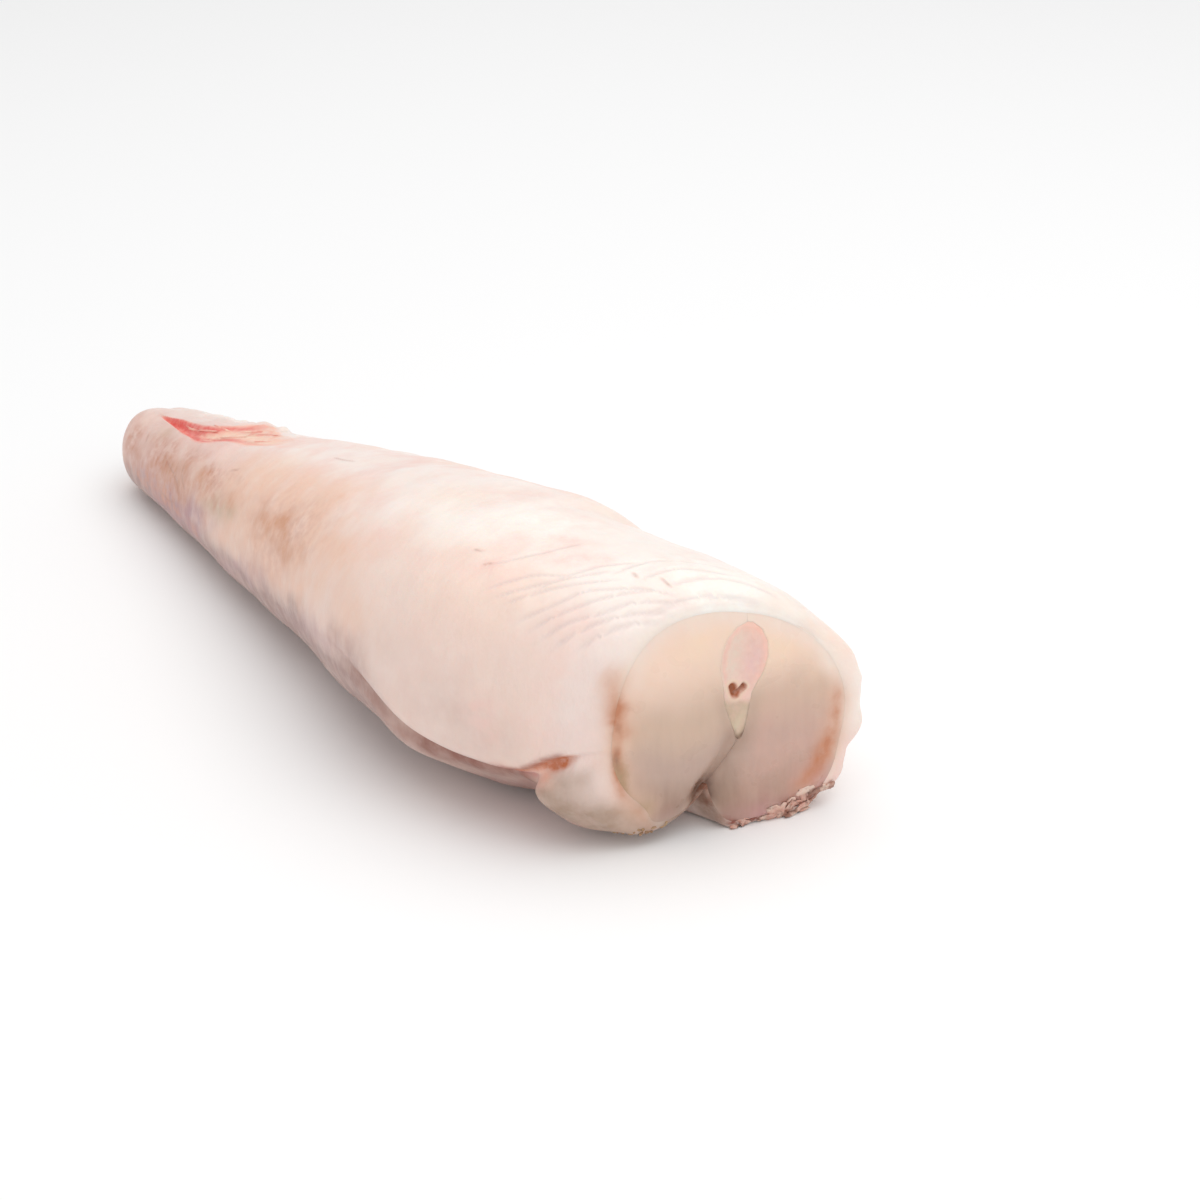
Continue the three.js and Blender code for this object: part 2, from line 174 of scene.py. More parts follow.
@dataclass(frozen=True)
class TailForm:
    """The tail's frame and its main form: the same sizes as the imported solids, in millimetres."""

    length: float = 312
    half_width: Curve = Curve(STATIONS, (46.5, 54, 51, 40, 29.5, 21.5, 15.2))
    back_height: Curve = Curve(STATIONS, (41, 42, 40, 34.5, 25.5, 18.6, 14.2))
    belly_depth: Curve = Curve(STATIONS, (39, 39, 37, 28.5, 21, 16.5, 14.5))
    axis_height: Curve = Curve(STATIONS, (35.3, 35.2, 33.5, 26, 19, 15, 13.3))
    sway: Curve = Curve(STATIONS, (0, -9, -9.5, -4, 0, 2.8, 4))
    arc_radius: float = 46
    back_roundness: float = 2.1
    belly_roundness: float = 2.4
    roll_at_cut: float = 16
    roll_at_tail: float = 10.5
    cut_skew: float = 16
    cut_rake: float = -4
    cut_reach: float = 0.4
    pressed_flat: float = 1.5
    press_reach: float = 2.5
    groove_depth: float = 16.5
    groove_half_width: float = 19
    groove_length: float = 0.38
    lip_drop_round: Curve = Curve(
        (-180, -135, -90, -45, 0, 45, 75, 100, 140, 180), (0.8, 1.5, 4.6, 6.8, 8.2, 8.6, 4.8, 2, 1, 0.8)
    )
    lip_length: float = 16
    tip_length: float = 15
    wall_at_cut: Curve = Curve(
        (-180, -168, -157, -146, -132, -98, -75, -45, 0, 45, 75, 98, 120, 150, 180),
        (1.8, 2.2, 4.6, 8.4, 9.6, 9, 6.5, 2.4, 1.6, 2.4, 5.5, 7.5, 5, 3.6, 1.8),
    )
    wall_inside: float = 2.8
    wall_fade: float = 110
    wall_on_floor: float = 2
    rim_swell: float = 2.2
    full_rim: float = 7
    gap: float = 0.3
    crease_line: Curve = Curve(
        (0, 6, 13, 24, 34, 45, 60, 75, 90, 115),
        (-107, -111, -116.5, -119.5, -119, -116.5, -112, -106, -101.5, -98),
    )
    slit_line: Curve = Curve((204, 215, 235, 256, 275, 298), (-2, -4, -15, -28, -31, -28))
    slit_low: Curve = Curve((189, 206, 227, 240, 252, 270, 291), (-17, -21, -30, -35, -42, -39, -29))
    slit_high: Curve = Curve((189, 206, 230, 243, 250, 258, 274, 291), (-12, -6, 4, 9, -2, -15, -20, -26))
    slit_depth: Curve = Curve((200, 222, 245, 262, 280, 293), (0, 0.7, 1.7, 2.8, 2.6, 0))
    loin_end: float = 276
    loin_dome: float = 14
    loin_swell: float = 3.6
    seam_line: Curve = Curve((-60, -22, -13, -4.3, 6, 18, 60), (0.4, 0.4, 2.4, 4.2, 1.6, 0, 0))

    def share(self, s: Array) -> Array:
        """How far along the body s is, from 0 to 1."""
        return clamped(s / self.length)

    def scale(self, s: Array) -> Array:
        """How large the section at s is beside the one at the cut."""
        return self.back_height(self.share(s)) / self.back_height.values[0]

    def press(self, z: Array) -> Array:
        """What lies lowest is pressed flat on the floor, with a clear edge to the flat patch."""
        share = np.maximum(0.0, z + self.pressed_flat) / (self.press_reach + self.pressed_flat)
        curved = self.pressed_flat / self.press_reach
        pressed = self.press_reach * ((1 - curved) * share + curved * share * share)
        return np.where(z > self.press_reach, z, pressed)

    def place(self, s: Array, l: Array, m: Array, forward: Array = 0.0, floor: Array = 0.0) -> Array:
        """Puts points of the sections in space.

        Args:
            s: Where the sections are along the body.
            l: How far right in the section.
            m: How far to the back in the section.
            forward: How far the point is moved out of the cut.
            floor: The height on which what lies lowest is pressed flat.

        Returns:
            Points in millimetres in the tail's frame.
        """
        u = self.share(s)
        turn = smooth(s, 0, 0.6 * self.length)
        roll = np.radians(mix(self.roll_at_cut, self.roll_at_tail, turn))
        across = l * np.cos(roll) + m * np.sin(roll)
        upward = m * np.cos(roll) - l * np.sin(roll)
        lean = across * math.tan(math.radians(self.cut_skew)) + upward * math.tan(math.radians(self.cut_rake))
        y = s - forward - lean * fading(s, 0, self.cut_reach * self.length)
        z = floor + self.press(self.axis_height(u) + upward - floor)
        return np.stack(np.broadcast_arrays(self.sway(u) + across, y, z), -1)

    def round_place(
        self, s: Array, degrees: Array, radius: Array, forward: Array = 0.0, floor: Array = 0.0
    ) -> Array:
        """The same for points at an angle and a distance from the section's middle."""
        angle = np.radians(degrees)
        return self.place(s, radius * np.sin(angle), radius * np.cos(angle), forward, floor)

    def around(self, s: Array, degrees: Array) -> Array:
        """How far round the body an angle is, in millimetres over the back."""
        return np.radians(degrees) * self.arc_radius * self.scale(s)

    def plain_radius(self, s: Array, degrees: Array) -> Array:
        """The section's plain outline: round at the back, fuller at the belly, with the groove."""
        u = self.share(s)
        sine, cosine = np.abs(np.sin(np.radians(degrees))), np.cos(np.radians(degrees))
        power = np.where(cosine > 0, self.back_roundness, self.belly_roundness)
        tall = np.where(cosine > 0, self.back_height(u), self.belly_depth(u))
        rounded = ((sine / self.half_width(u)) ** power + (np.abs(cosine) / tall) ** power) ** (-1 / power)
        aside = np.radians(180 - np.abs(degrees)) * rounded
        groove = self.groove_depth * fading(s, 0, self.groove_length * self.length)
        return rounded - groove * np.clip(1 - aside / self.groove_half_width, 0, 1) ** 1.6

    def lip_drop(self, s: Array, degrees: Array) -> Array:
        """How far the rounded lip of the cut has dropped from the plain outline."""
        share = clamped(1 - s / self.lip_length)
        return self.lip_drop_round(degrees) * (1 - np.sqrt(1 - 0.98 * share * share))

    def tip_share(self, s: Array) -> Array:
        """What is left of the radius at the blunt thin end."""
        along = clamped((s - self.length + self.tip_length) / self.tip_length)
        return np.sqrt(1 - along**2.6)

    def below_crease(self, s: Array, degrees: Array) -> Array:
        """Millimetres below the left crease: negative above it, on the flank."""
        return np.radians(self.crease_line(s) - degrees) * self.plain_radius(s, degrees)

    def in_slit(self, s: Array, degrees: Array) -> Array:
        """Where a point lies in the slit: 0 at its lower edge and 1 at its upper one."""
        low = self.slit_low(s)
        return (degrees - low) / np.maximum(self.slit_high(s) - low, 3.0)

    def wall(self, s: Array, degrees: Array) -> Array:
        """The outer layer's thickness."""
        wanted = mix(self.wall_at_cut(degrees), self.wall_inside, smooth(s, 0, self.wall_fade))
        sunk = 4.8 * bell(self.below_crease(s, degrees), 1, 6) * fading(s, 60, 110)
        return np.maximum(wanted, sunk + 1.4)

    def inner_radius(self, s: Array, degrees: Array) -> Array:
        """The distance of the outer layer's inner face from the section's middle."""
        dome = clamped((s - self.loin_end + self.loin_dome) / self.loin_dome)
        radius = self.plain_radius(s, degrees) - self.lip_drop(s, degrees) - self.wall(s, degrees)
        return radius * np.sqrt(1 - 0.96 * dome * dome)

    def seam(self, s: Array, m: Array) -> Array:
        """How far right the seam between the loins lies at a level of the section."""
        scale = self.scale(s)
        return scale * self.seam_line(m / scale)

    def face_forward(self, l: Array, m: Array) -> Array:
        """How far the loins' cut face stands out of the cut at a point of it."""
        degrees = np.degrees(np.arctan2(l, m))
        share = np.hypot(l, m) / self.inner_radius(0, degrees)
        edge = self.edge_forward(degrees)
        swell = edge + (self.loin_swell - edge) * (1 - share**3)
        return swell - self.valley(l, m) * (1 - clamped(share) ** 6)

    def edge_forward(self, degrees: Array) -> Array:
        """How far the rim stands out of the cut where it meets the loins."""
        return self.rim_swell * np.minimum(1, self.wall(0, degrees) / self.full_rim)

    def valley(self, l: Array, m: Array) -> Array:
        """How deep the soft valley between the loins lies below the bone."""
        return 2.9 * bell(l, self.seam(0, m), 5.6) * smooth(-m, -4, 20)


TAIL = TailForm()


def row_offset() -> Array:
    """Works out where the tail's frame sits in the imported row's frame.

    Returns:
        The shift in millimetres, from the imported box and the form's own widest places.
    """
    s, degrees = np.meshgrid(np.linspace(0, 120, 121), np.arange(-180, 180, 2.0), indexing="ij")
    points = TAIL.round_place(s, degrees, TAIL.plain_radius(s, degrees) - TAIL.lip_drop(s, degrees))
    middle = (points[..., 0].min() + points[..., 0].max()) / 2
    box_middle = (CAD_BOX[0].x + CAD_BOX[1].x) / 2 / MM
    return np.array([box_middle - middle, CAD_BOX[1].y / MM - TAIL.length, 0.0])


# ------------------------------------------------------------------ places and lines on a surface

Spot = tuple[float, ...]


@dataclass(frozen=True)
class Unevenness:
    """How uneven the edges of soft marks are, and what places them.

    Attributes:
        seed: The noise's seed.
        grain: The size of its grain, in millimetres.
        share: How far it moves an edge, beside half the mark's smaller size.
        most: The half size beyond which that grows no more.
        on_cut: Whether l and m on the cut place a mark, or else s and degrees on the skin.
    """

    seed: int
    grain: float
    share: float
    most: float
    on_cut: bool


ON_SKIN = Unevenness(5, 7.0, 0.3, 9.0, False)
ON_CUT = Unevenness(31, 4.0, 0.22, 6.0, True)


def laid_flat(a: Array, b: Array, on_cut: bool) -> tuple[Array, Array]:
    """Places as millimetres: l and m on the cut as they are, or s and degrees on the skin."""
    return (a, b) if on_cut else (a, TAIL.around(a, b))


@dataclass
class Surface:
    """A grid of points of one surface, with what its marks are placed by.

    Attributes:
        s: Along the body, and below 0 on the cut, where it is minus the way in from the edge.
        degrees: The angle in the section.
        l: How far right in the section.
        m: How far to the back in the section.
        points: The points in millimetres in the tail's frame.
    """

    s: Array
    degrees: Array
    l: Array
    m: Array
    points: Array

    @classmethod
    def joined(cls, blocks: Sequence["Surface"]) -> "Surface":
        """One surface from blocks of rings."""
        return cls(*(np.concatenate([getattr(block, key.name) for block in blocks]) for key in fields(cls)))

    def flat(self, on_cut: bool) -> tuple[Array, Array]:
        """The points' own places as millimetres on the cut or on the skin."""
        return laid_flat(self.l, self.m, True) if on_cut else laid_flat(self.s, self.degrees, False)

    def spots(self, marks: Sequence[Spot], edge: Unevenness) -> Array:
        """Soft marks on the surface, summed.

        Args:
            marks: For each its strength, the two values of its place, half its length and half its width in
                millimetres, and how far it is turned in degrees where it is.
            edge: How uneven the marks' edges are, and what places them.

        Returns:
            The sum of the marks, each at its strength in its middle and fading out.
        """
        first, second = (Grain(edge.seed + k, edge.grain)(self.points) for k in (0, 1))
        x, y = self.flat(edge.on_cut)
        total = np.zeros(self.s.shape)
        for strength, a, b, length, width, *turned in marks:
            at_x, at_y = laid_flat(a, b, edge.on_cut)
            uneven = edge.share * min(length, width, edge.most)
            dx, dy = x - at_x + uneven * first, y - at_y + uneven * second
            turn = math.radians(sum(turned))
            c, n = math.cos(turn), math.sin(turn)
            along, aside = (dx * c + dy * n) / length, (dy * c - dx * n) / width
            total += strength * np.exp(-(along**2) - aside**2)
        return total

    def on_skin(self, *marks: Spot) -> Array:
        """Soft marks on the skin, each placed by s and degrees."""
        return self.spots(marks, ON_SKIN)

    def on_face(self, *marks: Spot) -> Array:
        """Soft marks on the cut, each placed by l and m."""
        return self.spots(marks, ON_CUT)

    def beside(self, line: Sequence[Place], ends: float = 3.0, on_cut: bool = False) -> tuple[Array, Array]:
        """How far the points lie beside a line on the surface.

        Args:
            line: Places on the line: s and degrees, or l and m on the cut.
            ends: Millimetres over which the line fades out beyond its ends.
            on_cut: Whether the line lies on the cut.

        Returns:
            The signed distance in millimetres, and a weight that is 1 along the line's length.
        """
        knots = tuple(range(len(line)))
        fine = np.linspace(0, len(line) - 1, 8 * (len(line) - 1) + 1)
        a, b = (Curve(knots, tuple(place[k] for place in line))(fine) for k in (0, 1))
        px, py = laid_flat(a, b, on_cut)
        x, y = self.flat(on_cut)
        best, signed, over = np.full(x.shape, 1e9), np.zeros(x.shape), np.zeros(x.shape)
        for k in range(len(fine) - 1):
            dx, dy = px[k + 1] - px[k], py[k + 1] - py[k]
            size = math.hypot(dx, dy) + 1e-9
            t = ((x - px[k]) * dx + (y - py[k]) * dy) / size
            side = ((x - px[k]) * dy - (y - py[k]) * dx) / size
            distance = np.hypot(side, np.maximum(0, np.maximum(-t, t - size)))
            end = (k == 0) * np.maximum(0, -t) + (k == len(fine) - 2) * np.maximum(0, t - size)
            nearer = distance < best
            best = np.where(nearer, distance, best)
            signed = np.where(nearer, side, signed)
            over = np.where(nearer, end, over)
        return signed, np.exp(-((over / ends) ** 2))


# ------------------------------------------------------------------ meshes


def loft_faces(rings: int, around: int) -> Faces:
    """The faces of a closed loft whose points are a first pole, rings one by one and a last pole."""
    faces: Faces = []
    last = 1 + rings * around
    for k in range(around):
        n = (k + 1) % around
        faces.append((0, 1 + n, 1 + k))
        faces.append((last, last - around + k, last - around + n))
    for row in range(rings - 1):
        a = 1 + row * around
        for k in range(around):
            n = (k + 1) % around
            faces.append((a + k, a + n, a + around + n, a + around + k))
    return faces


def facing_out(points: Array, faces: Faces) -> Faces:
    """Turns the faces round if they enclose a negative volume."""
    volume = 0.0
    for corners in (3, 4):
        index = np.array([f for f in faces if len(f) == corners], int).reshape(-1, corners)
        for k in range(1, corners - 1):
            a, b, c = points[index[:, 0]], points[index[:, k]], points[index[:, k + 1]]
            volume += float(np.einsum("ij,ij->i", a, np.cross(b, c)).sum())
    return [f[::-1] for f in faces] if volume < 0 else faces


def linked(thing: bpy.types.Object) -> bpy.types.Object:
    """Puts an object in the scene."""
    bpy.context.scene.collection.objects.link(thing)
    return thing


def piece_from(
    name: str, points: Array, faces: Faces, marks: dict[str, Array], material: bpy.types.Material
) -> bpy.types.Object:
    """Makes a smooth-shaded object from points in the tail's frame.

    Args:
        name: The object's name.
        points: One row for each point, in millimetres.
        faces: Corner numbers, in either direction.
        marks: Float attributes by name, one value for each point.
        material: The finish.

    Returns:
        The object, with its place in its mesh.
    """
    mesh = bpy.data.meshes.new(name)
    mesh.from_pydata(((points + ORIGIN) * MM).tolist(), [], facing_out(points, faces))
    mesh.polygons.foreach_set("use_smooth", [True] * len(mesh.polygons))
    for key, values in marks.items():
        attribute = mesh.attributes.new(key, "FLOAT", "POINT")
        attribute.data.foreach_set("value", np.asarray(values, np.float32).ravel())
    mesh.materials.append(material)
    mesh.update()
    return linked(bpy.data.objects.new(name, mesh))


def ridden(piece: bpy.types.Object, slot: str, *nodes: str) -> bpy.types.Object:
    """Attaches a finished piece to the root body and hides the CAD nodes that it stands for."""
    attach(piece, "root")
    if nodes:
        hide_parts(*nodes)
    LOG.info("%s: %d points, %d faces", piece.name, len(piece.data.vertices), len(piece.data.polygons))
    return piece


ORIGIN = row_offset()


# ------------------------------------------------------------------ materials


def tint(colour: Colour) -> tuple[float, float, float, float]:
    """A colour on the usual 0 to 255 scale as Blender's linear one."""
    linear = [(c / 255) / 12.92 if c <= 10 else ((c / 255 + 0.055) / 1.055) ** 2.4 for c in colour]
    return (linear[0], linear[1], linear[2], 1.0)


class ShaderTree:
    """One material's node tree, with short calls that add a node and link it."""

    def __init__(self, name: str) -> None:
        """Starts an empty material of that name."""
        self.material = bpy.data.materials.new(name)
        self.material.use_nodes = True
        self.tree = self.material.node_tree
        self.tree.nodes.clear()
        self.coords = self.add("ShaderNodeTexCoord").outputs["Object"]

    def add(self, kind: str, settings: Optional[dict[str, Any]] = None, **inputs: Any) -> bpy.types.Node:
        """Adds a node.

        Args:
            kind: The node's type.
            settings: The node's own properties.
            **inputs: Sockets by name, with _ for a blank, or by number as i0, i1 and so on. A socket is
                linked and anything else is set.

        Returns:
            The node.
        """
        node = self.tree.nodes.new(kind)
        for key, value in (settings or {}).items():
            setattr(node, key, value)
        for key, value in inputs.items():
            numbered = key[0] == "i" and key[1:].isdigit()
            socket = node.inputs[int(key[1:])] if numbered else node.inputs[key.replace("_", " ")]
            if isinstance(value, bpy.types.NodeSocket):
                self.tree.links.new(value, socket)
            else:
                socket.default_value = value
        return node

    def mark(self, name: str) -> bpy.types.NodeSocket:
        """One of the piece's float attributes."""
        return self.add("ShaderNodeAttribute", {"attribute_name": name}).outputs["Fac"]

    def math(self, operation: str, a: Any, b: Any = 0.0, clamp: bool = False) -> bpy.types.NodeSocket:
        """A sum, product or other operation on two values."""
        return self.add("ShaderNodeMath", {"operation": operation, "use_clamp": clamp}, i0=a, i1=b).outputs[0]

    def noise(
        self, scale: float, detail: float, stretch: Triple = (1.0, 1.0, 1.0), shift: float = 0.0
    ) -> bpy.types.NodeSocket:
        """Noise on Object coordinates: scale is grains a metre, and stretch multiplies it on each axis."""
        shifted = (shift, 2 * shift, 0)
        moved = self.add("ShaderNodeMapping", Vector=self.coords, Scale=stretch, Location=shifted).outputs[0]
        made = self.add("ShaderNodeTexNoise", Vector=moved, Scale=scale, Detail=detail, Roughness=0.55)
        return made.outputs["Fac"]

    def relief(
        self, height: float, scale: float, detail: float, stretch: Triple = (1.0, 1.0, 1.0)
    ) -> bpy.types.NodeSocket:
        """Noise about 0, multiplied by a height."""
        return self.math("MULTIPLY", self.math("SUBTRACT", self.noise(scale, detail, stretch), 0.5), height)

    def between(self, value: Any, low: float, high: float, to_low: float = 0.0, to_high: float = 1.0) -> Any:
        """A value mapped smoothly from low and high to to_low and to_high, and held there beyond."""
        ends = {"From_Min": low, "From_Max": high, "To_Min": to_low, "To_Max": to_high}
        node = self.add("ShaderNodeMapRange", {"interpolation_type": "SMOOTHSTEP"}, Value=value, **ends)
        return node.outputs["Result"]

    def blend(self, share: Any, a: Any, b: Any) -> bpy.types.NodeSocket:
        """A colour between a and b."""
        return self.add("ShaderNodeMix", {"data_type": "RGBA"}, i0=share, i6=a, i7=b).outputs[2]

    def over(self, colour: Any, share: Any, amount: float, top: Colour) -> bpy.types.NodeSocket:
        """A colour with another laid over it by a share of an amount."""
        return self.blend(self.math("MULTIPLY", share, amount), colour, tint(top))

    def ramp(self, value: Any, stops: Sequence[tuple[float, Colour]]) -> bpy.types.NodeSocket:
        """A colour ramp with smooth changes."""
        node = self.add("ShaderNodeValToRGB", Fac=value)
        node.color_ramp.interpolation = "EASE"
        while len(node.color_ramp.elements) < len(stops):
            node.color_ramp.elements.new(0.5)
        for element, (at, colour) in zip(node.color_ramp.elements, stops):
            element.position = at
            element.color = tint(colour)
        return node.outputs[0]

    def finish(self, colour: Any, height: Any, moist: "Moisture", roughness: Any) -> bpy.types.Material:
        """Ends the tree in a moist, slightly translucent surface.

        Args:
            colour: The base colour.
            height: The fine relief, in millimetres.
            moist: How the surface shines and lets light in.
            roughness: The roughness, as a value or a socket.

        Returns:
            The material.
        """
        bump = self.add("ShaderNodeBump", Strength=1.0, Distance=MM, Height=height)
        shader = self.add(
            "ShaderNodeBsdfPrincipled",
            {"subsurface_method": "RANDOM_WALK"},
            Base_Color=colour,
            Roughness=roughness,
            Normal=bump.outputs[0],
            IOR=1.38,
            Subsurface_Weight=moist.translucence,
            Subsurface_Radius=moist.depths,
            Subsurface_Scale=moist.reach,
            Coat_Weight=moist.film,
            Coat_Roughness=moist.film_roughness,
        )
        shader.inputs["Specular IOR Level"].default_value = moist.gloss
        output = self.add("ShaderNodeOutputMaterial", Surface=shader.outputs[0])
        output.is_active_output = True
        return self.material


@dataclass(frozen=True)
class Moisture:
    """How a moist surface shines and how far light goes in.

    Attributes:
        gloss: The flesh's own shine.
        film: The weight of the film of water on it.
        film_roughness: The film's roughness.
        translucence: How much light goes in.
        depths: How far red, green and blue go, beside the reach.
        reach: How far light goes, in metres.
    """

    gloss: float = 0.4
    film: float = 0.12
    film_roughness: float = 0.22
    translucence: float = 0.14
    depths: Triple = (1.0, 0.45, 0.32)
    reach: float = 0.0018


@dataclass(frozen=True)
class Layer:
    """A colour laid over a finish where one of the piece's marks says, broken up by noise.

    Attributes:
        mark: The attribute's name.
        colour: The colour where it is full.
        amount: How much of it there is at most.
        broken: How much the noise breaks it up, from 0 to 1.
        grains: The noise's grains a metre.
    """

    mark: str
    colour: Colour
    amount: float = 1.0
    broken: float = 0.3
    grains: float = 220.0

    def over(self, tree: ShaderTree, colour: Any) -> bpy.types.NodeSocket:
        """Lays this colour over another."""
        grain = tree.noise(self.grains, 3.0, shift=0.01 * len(self.mark))
        worn = tree.between(grain, 0.3, 0.7, 1 - self.broken, 1 + self.broken)
        there = tree.math("MULTIPLY", tree.mark(self.mark), worn)
        return tree.blend(tree.math("MULTIPLY", there, self.amount, clamp=True), colour, tint(self.colour))


def thin_line(tree: ShaderTree, name: str, half_width: float) -> bpy.types.NodeSocket:
    """A fine line from a family's two marks: the distance beside it and where it is drawn."""
    away = tree.math("DIVIDE", tree.mark(name + "_beside"), half_width)
    square = tree.math("MULTIPLY", away, away)
    faded = tree.math("POWER", math.e, tree.math("MULTIPLY", square, -1.0))
    return tree.math("MULTIPLY", faded, tree.mark(name + "_drawn"), clamp=True)


@dataclass(frozen=True)
class MembraneFinish:
    """The pale outer layer: creamy white, blushed and stained, with fine wrinkles under a moist film, and
    with painted shade on its lower left side, on the flap, under the crease, in the wrinkle creases, along
    the crease's fold and in the notch, and a band of painted light on the right rim.
    """

    cream: Colour = (250, 234, 226)
    rosy: Colour = (245, 212, 202)
    peach: Colour = (247, 220, 200)
    # Painted shade: the grey-lilac of the wrinkle lines stands in for shade in their creases.
    crease: Colour = (206, 188, 188)
    tick: Colour = (190, 140, 124)
    # Painted shade: the dark line along the crease's fold.
    fold: Colour = (164, 98, 80)
    streak: Colour = (255, 244, 236)
    moist: Moisture = Moisture()
    layers: tuple[Layer, ...] = (
        Layer("flank", (241, 214, 202), 0.8, 0.2, 60),
        Layer("peach", (244, 203, 181), 0.85, 0.3, 90),
        Layer("tail_end", (224, 184, 172), 0.78, 0.25, 120),
        Layer("underside", (214, 178, 170), 0.85, 0.3, 90),
        # Painted shade: mauve-grey over the lower left side.
        Layer("low", (178, 146, 138), 0.95, 0.25, 160),
        # Partly painted shade along the lower left edge, partly the skin's own mauve blotches.
        Layer("mauve", (188, 148, 152), 0.85, 0.4, 130),
        Layer("blush", (250, 204, 194), 0.75, 0.5, 260),
        Layer("rim", (236, 214, 206), 0.8, 0.2, 120),
        Layer("rim_inside", (244, 222, 208), 0.95, 0.1, 160),
        Layer("olive", (206, 180, 154), 0.7, 0.35, 120),
        Layer("mottle", (208, 152, 132), 0.55, 0.95, 300),
        Layer("tan", (218, 160, 128), 0.75, 0.45, 150),
        Layer("bruise", (198, 138, 110), 0.75, 0.45, 190),
        # Painted shade on the flap below the crease and on the lower left rim.
        Layer("beige", (168, 140, 120), 0.88, 0.15, 120),
        # The hem under the crease: its own mauve-brown, darkened further by painted shade under the crease's
        # overhang.
        Layer("strip", (156, 108, 96), 0.95, 0.15, 140),
        Layer("rose", (206, 128, 122), 0.85, 0.35, 300),
        Layer("rust", (202, 116, 74), 0.95, 0.3, 420),
        Layer("salmon", (250, 194, 172), 0.95, 0.3, 300),
        Layer("coral", (234, 112, 104), 0.92, 0.3, 420),
        Layer("cream_streak", (252, 216, 192), 0.7, 0.4, 500),
        # Pale marks on the back and the slit's ridge, and a band of painted light on the right rim's shadowed
        # side.
        Layer("pale", (253, 244, 236), 0.9, 0.2, 200),
        Layer("edge_shade", (160, 130, 112), 0.85, 0.2, 200),
        Layer("halo", (226, 184, 158), 0.65, 0.2, 100),
        Layer("stain", (194, 124, 88), 0.85, 0.35, 160),
        # Painted shade in the notch, in a hollow beside the left stain and on the bed where it shows through.
        Layer("deep", (124, 78, 56), 0.9, 0.3, 420),
        Layer("gore", (146, 86, 72), 0.9, 0.5, 480),
    )

    def material(self) -> bpy.types.Material:
        """Builds the material."""
        tree = ShaderTree("moist_membrane")
        clouds = tree.between(tree.noise(38, 3), 0.38, 0.66)
        warm = tree.between(tree.noise(24, 2, shift=0.3), 0.42, 0.7, 0.0, 0.6)
        colour = tree.blend(clouds, tint(self.cream), tint(self.rosy))
        colour = tree.blend(warm, colour, tint(self.peach))
        for layer in self.layers:
            colour = layer.over(tree, colour)
        creases = thin_line(tree, "crease", 0.75)
        ticks = thin_line(tree, "tick", 0.55)
        uneven = tree.between(tree.noise(300, 3), 0.3, 0.6, 0.6, 1)
        fold = tree.math("MULTIPLY", thin_line(tree, "fold", 1.1), uneven)
        streaks = tree.between(tree.noise(150, 5, (0.9, 1.7, 0.9)), 0.38, 0.68)
        # Painted shade in the wrinkle creases.
        colour = tree.over(colour, creases, 0.3, self.crease)
        colour = tree.over(colour, ticks, 0.5, self.tick)
        # Painted shade along the crease's fold.
        colour = tree.over(colour, fold, 0.72, self.fold)
        colour = tree.over(colour, streaks, 0.08, self.streak)
        wrinkles = tree.relief(0.36, 240, 3, (0.6, 1.4, 0.6))
        height = tree.math("ADD", tree.relief(0.12, 900, 4, (0.6, 1.5, 0.6)), wrinkles)
        height = tree.math("SUBTRACT", height, tree.math("MULTIPLY", creases, 0.16))
        height = tree.math("SUBTRACT", height, tree.math("MULTIPLY", ticks, 0.1))
        height = tree.math("ADD", height, tree.math("MULTIPLY", tree.relief(1.2, 520, 4), tree.mark("gore")))
        roughness = tree.between(tree.noise(150, 3), 0.3, 0.7, 0.3, 0.46)
        return tree.finish(colour, height, self.moist, roughness)


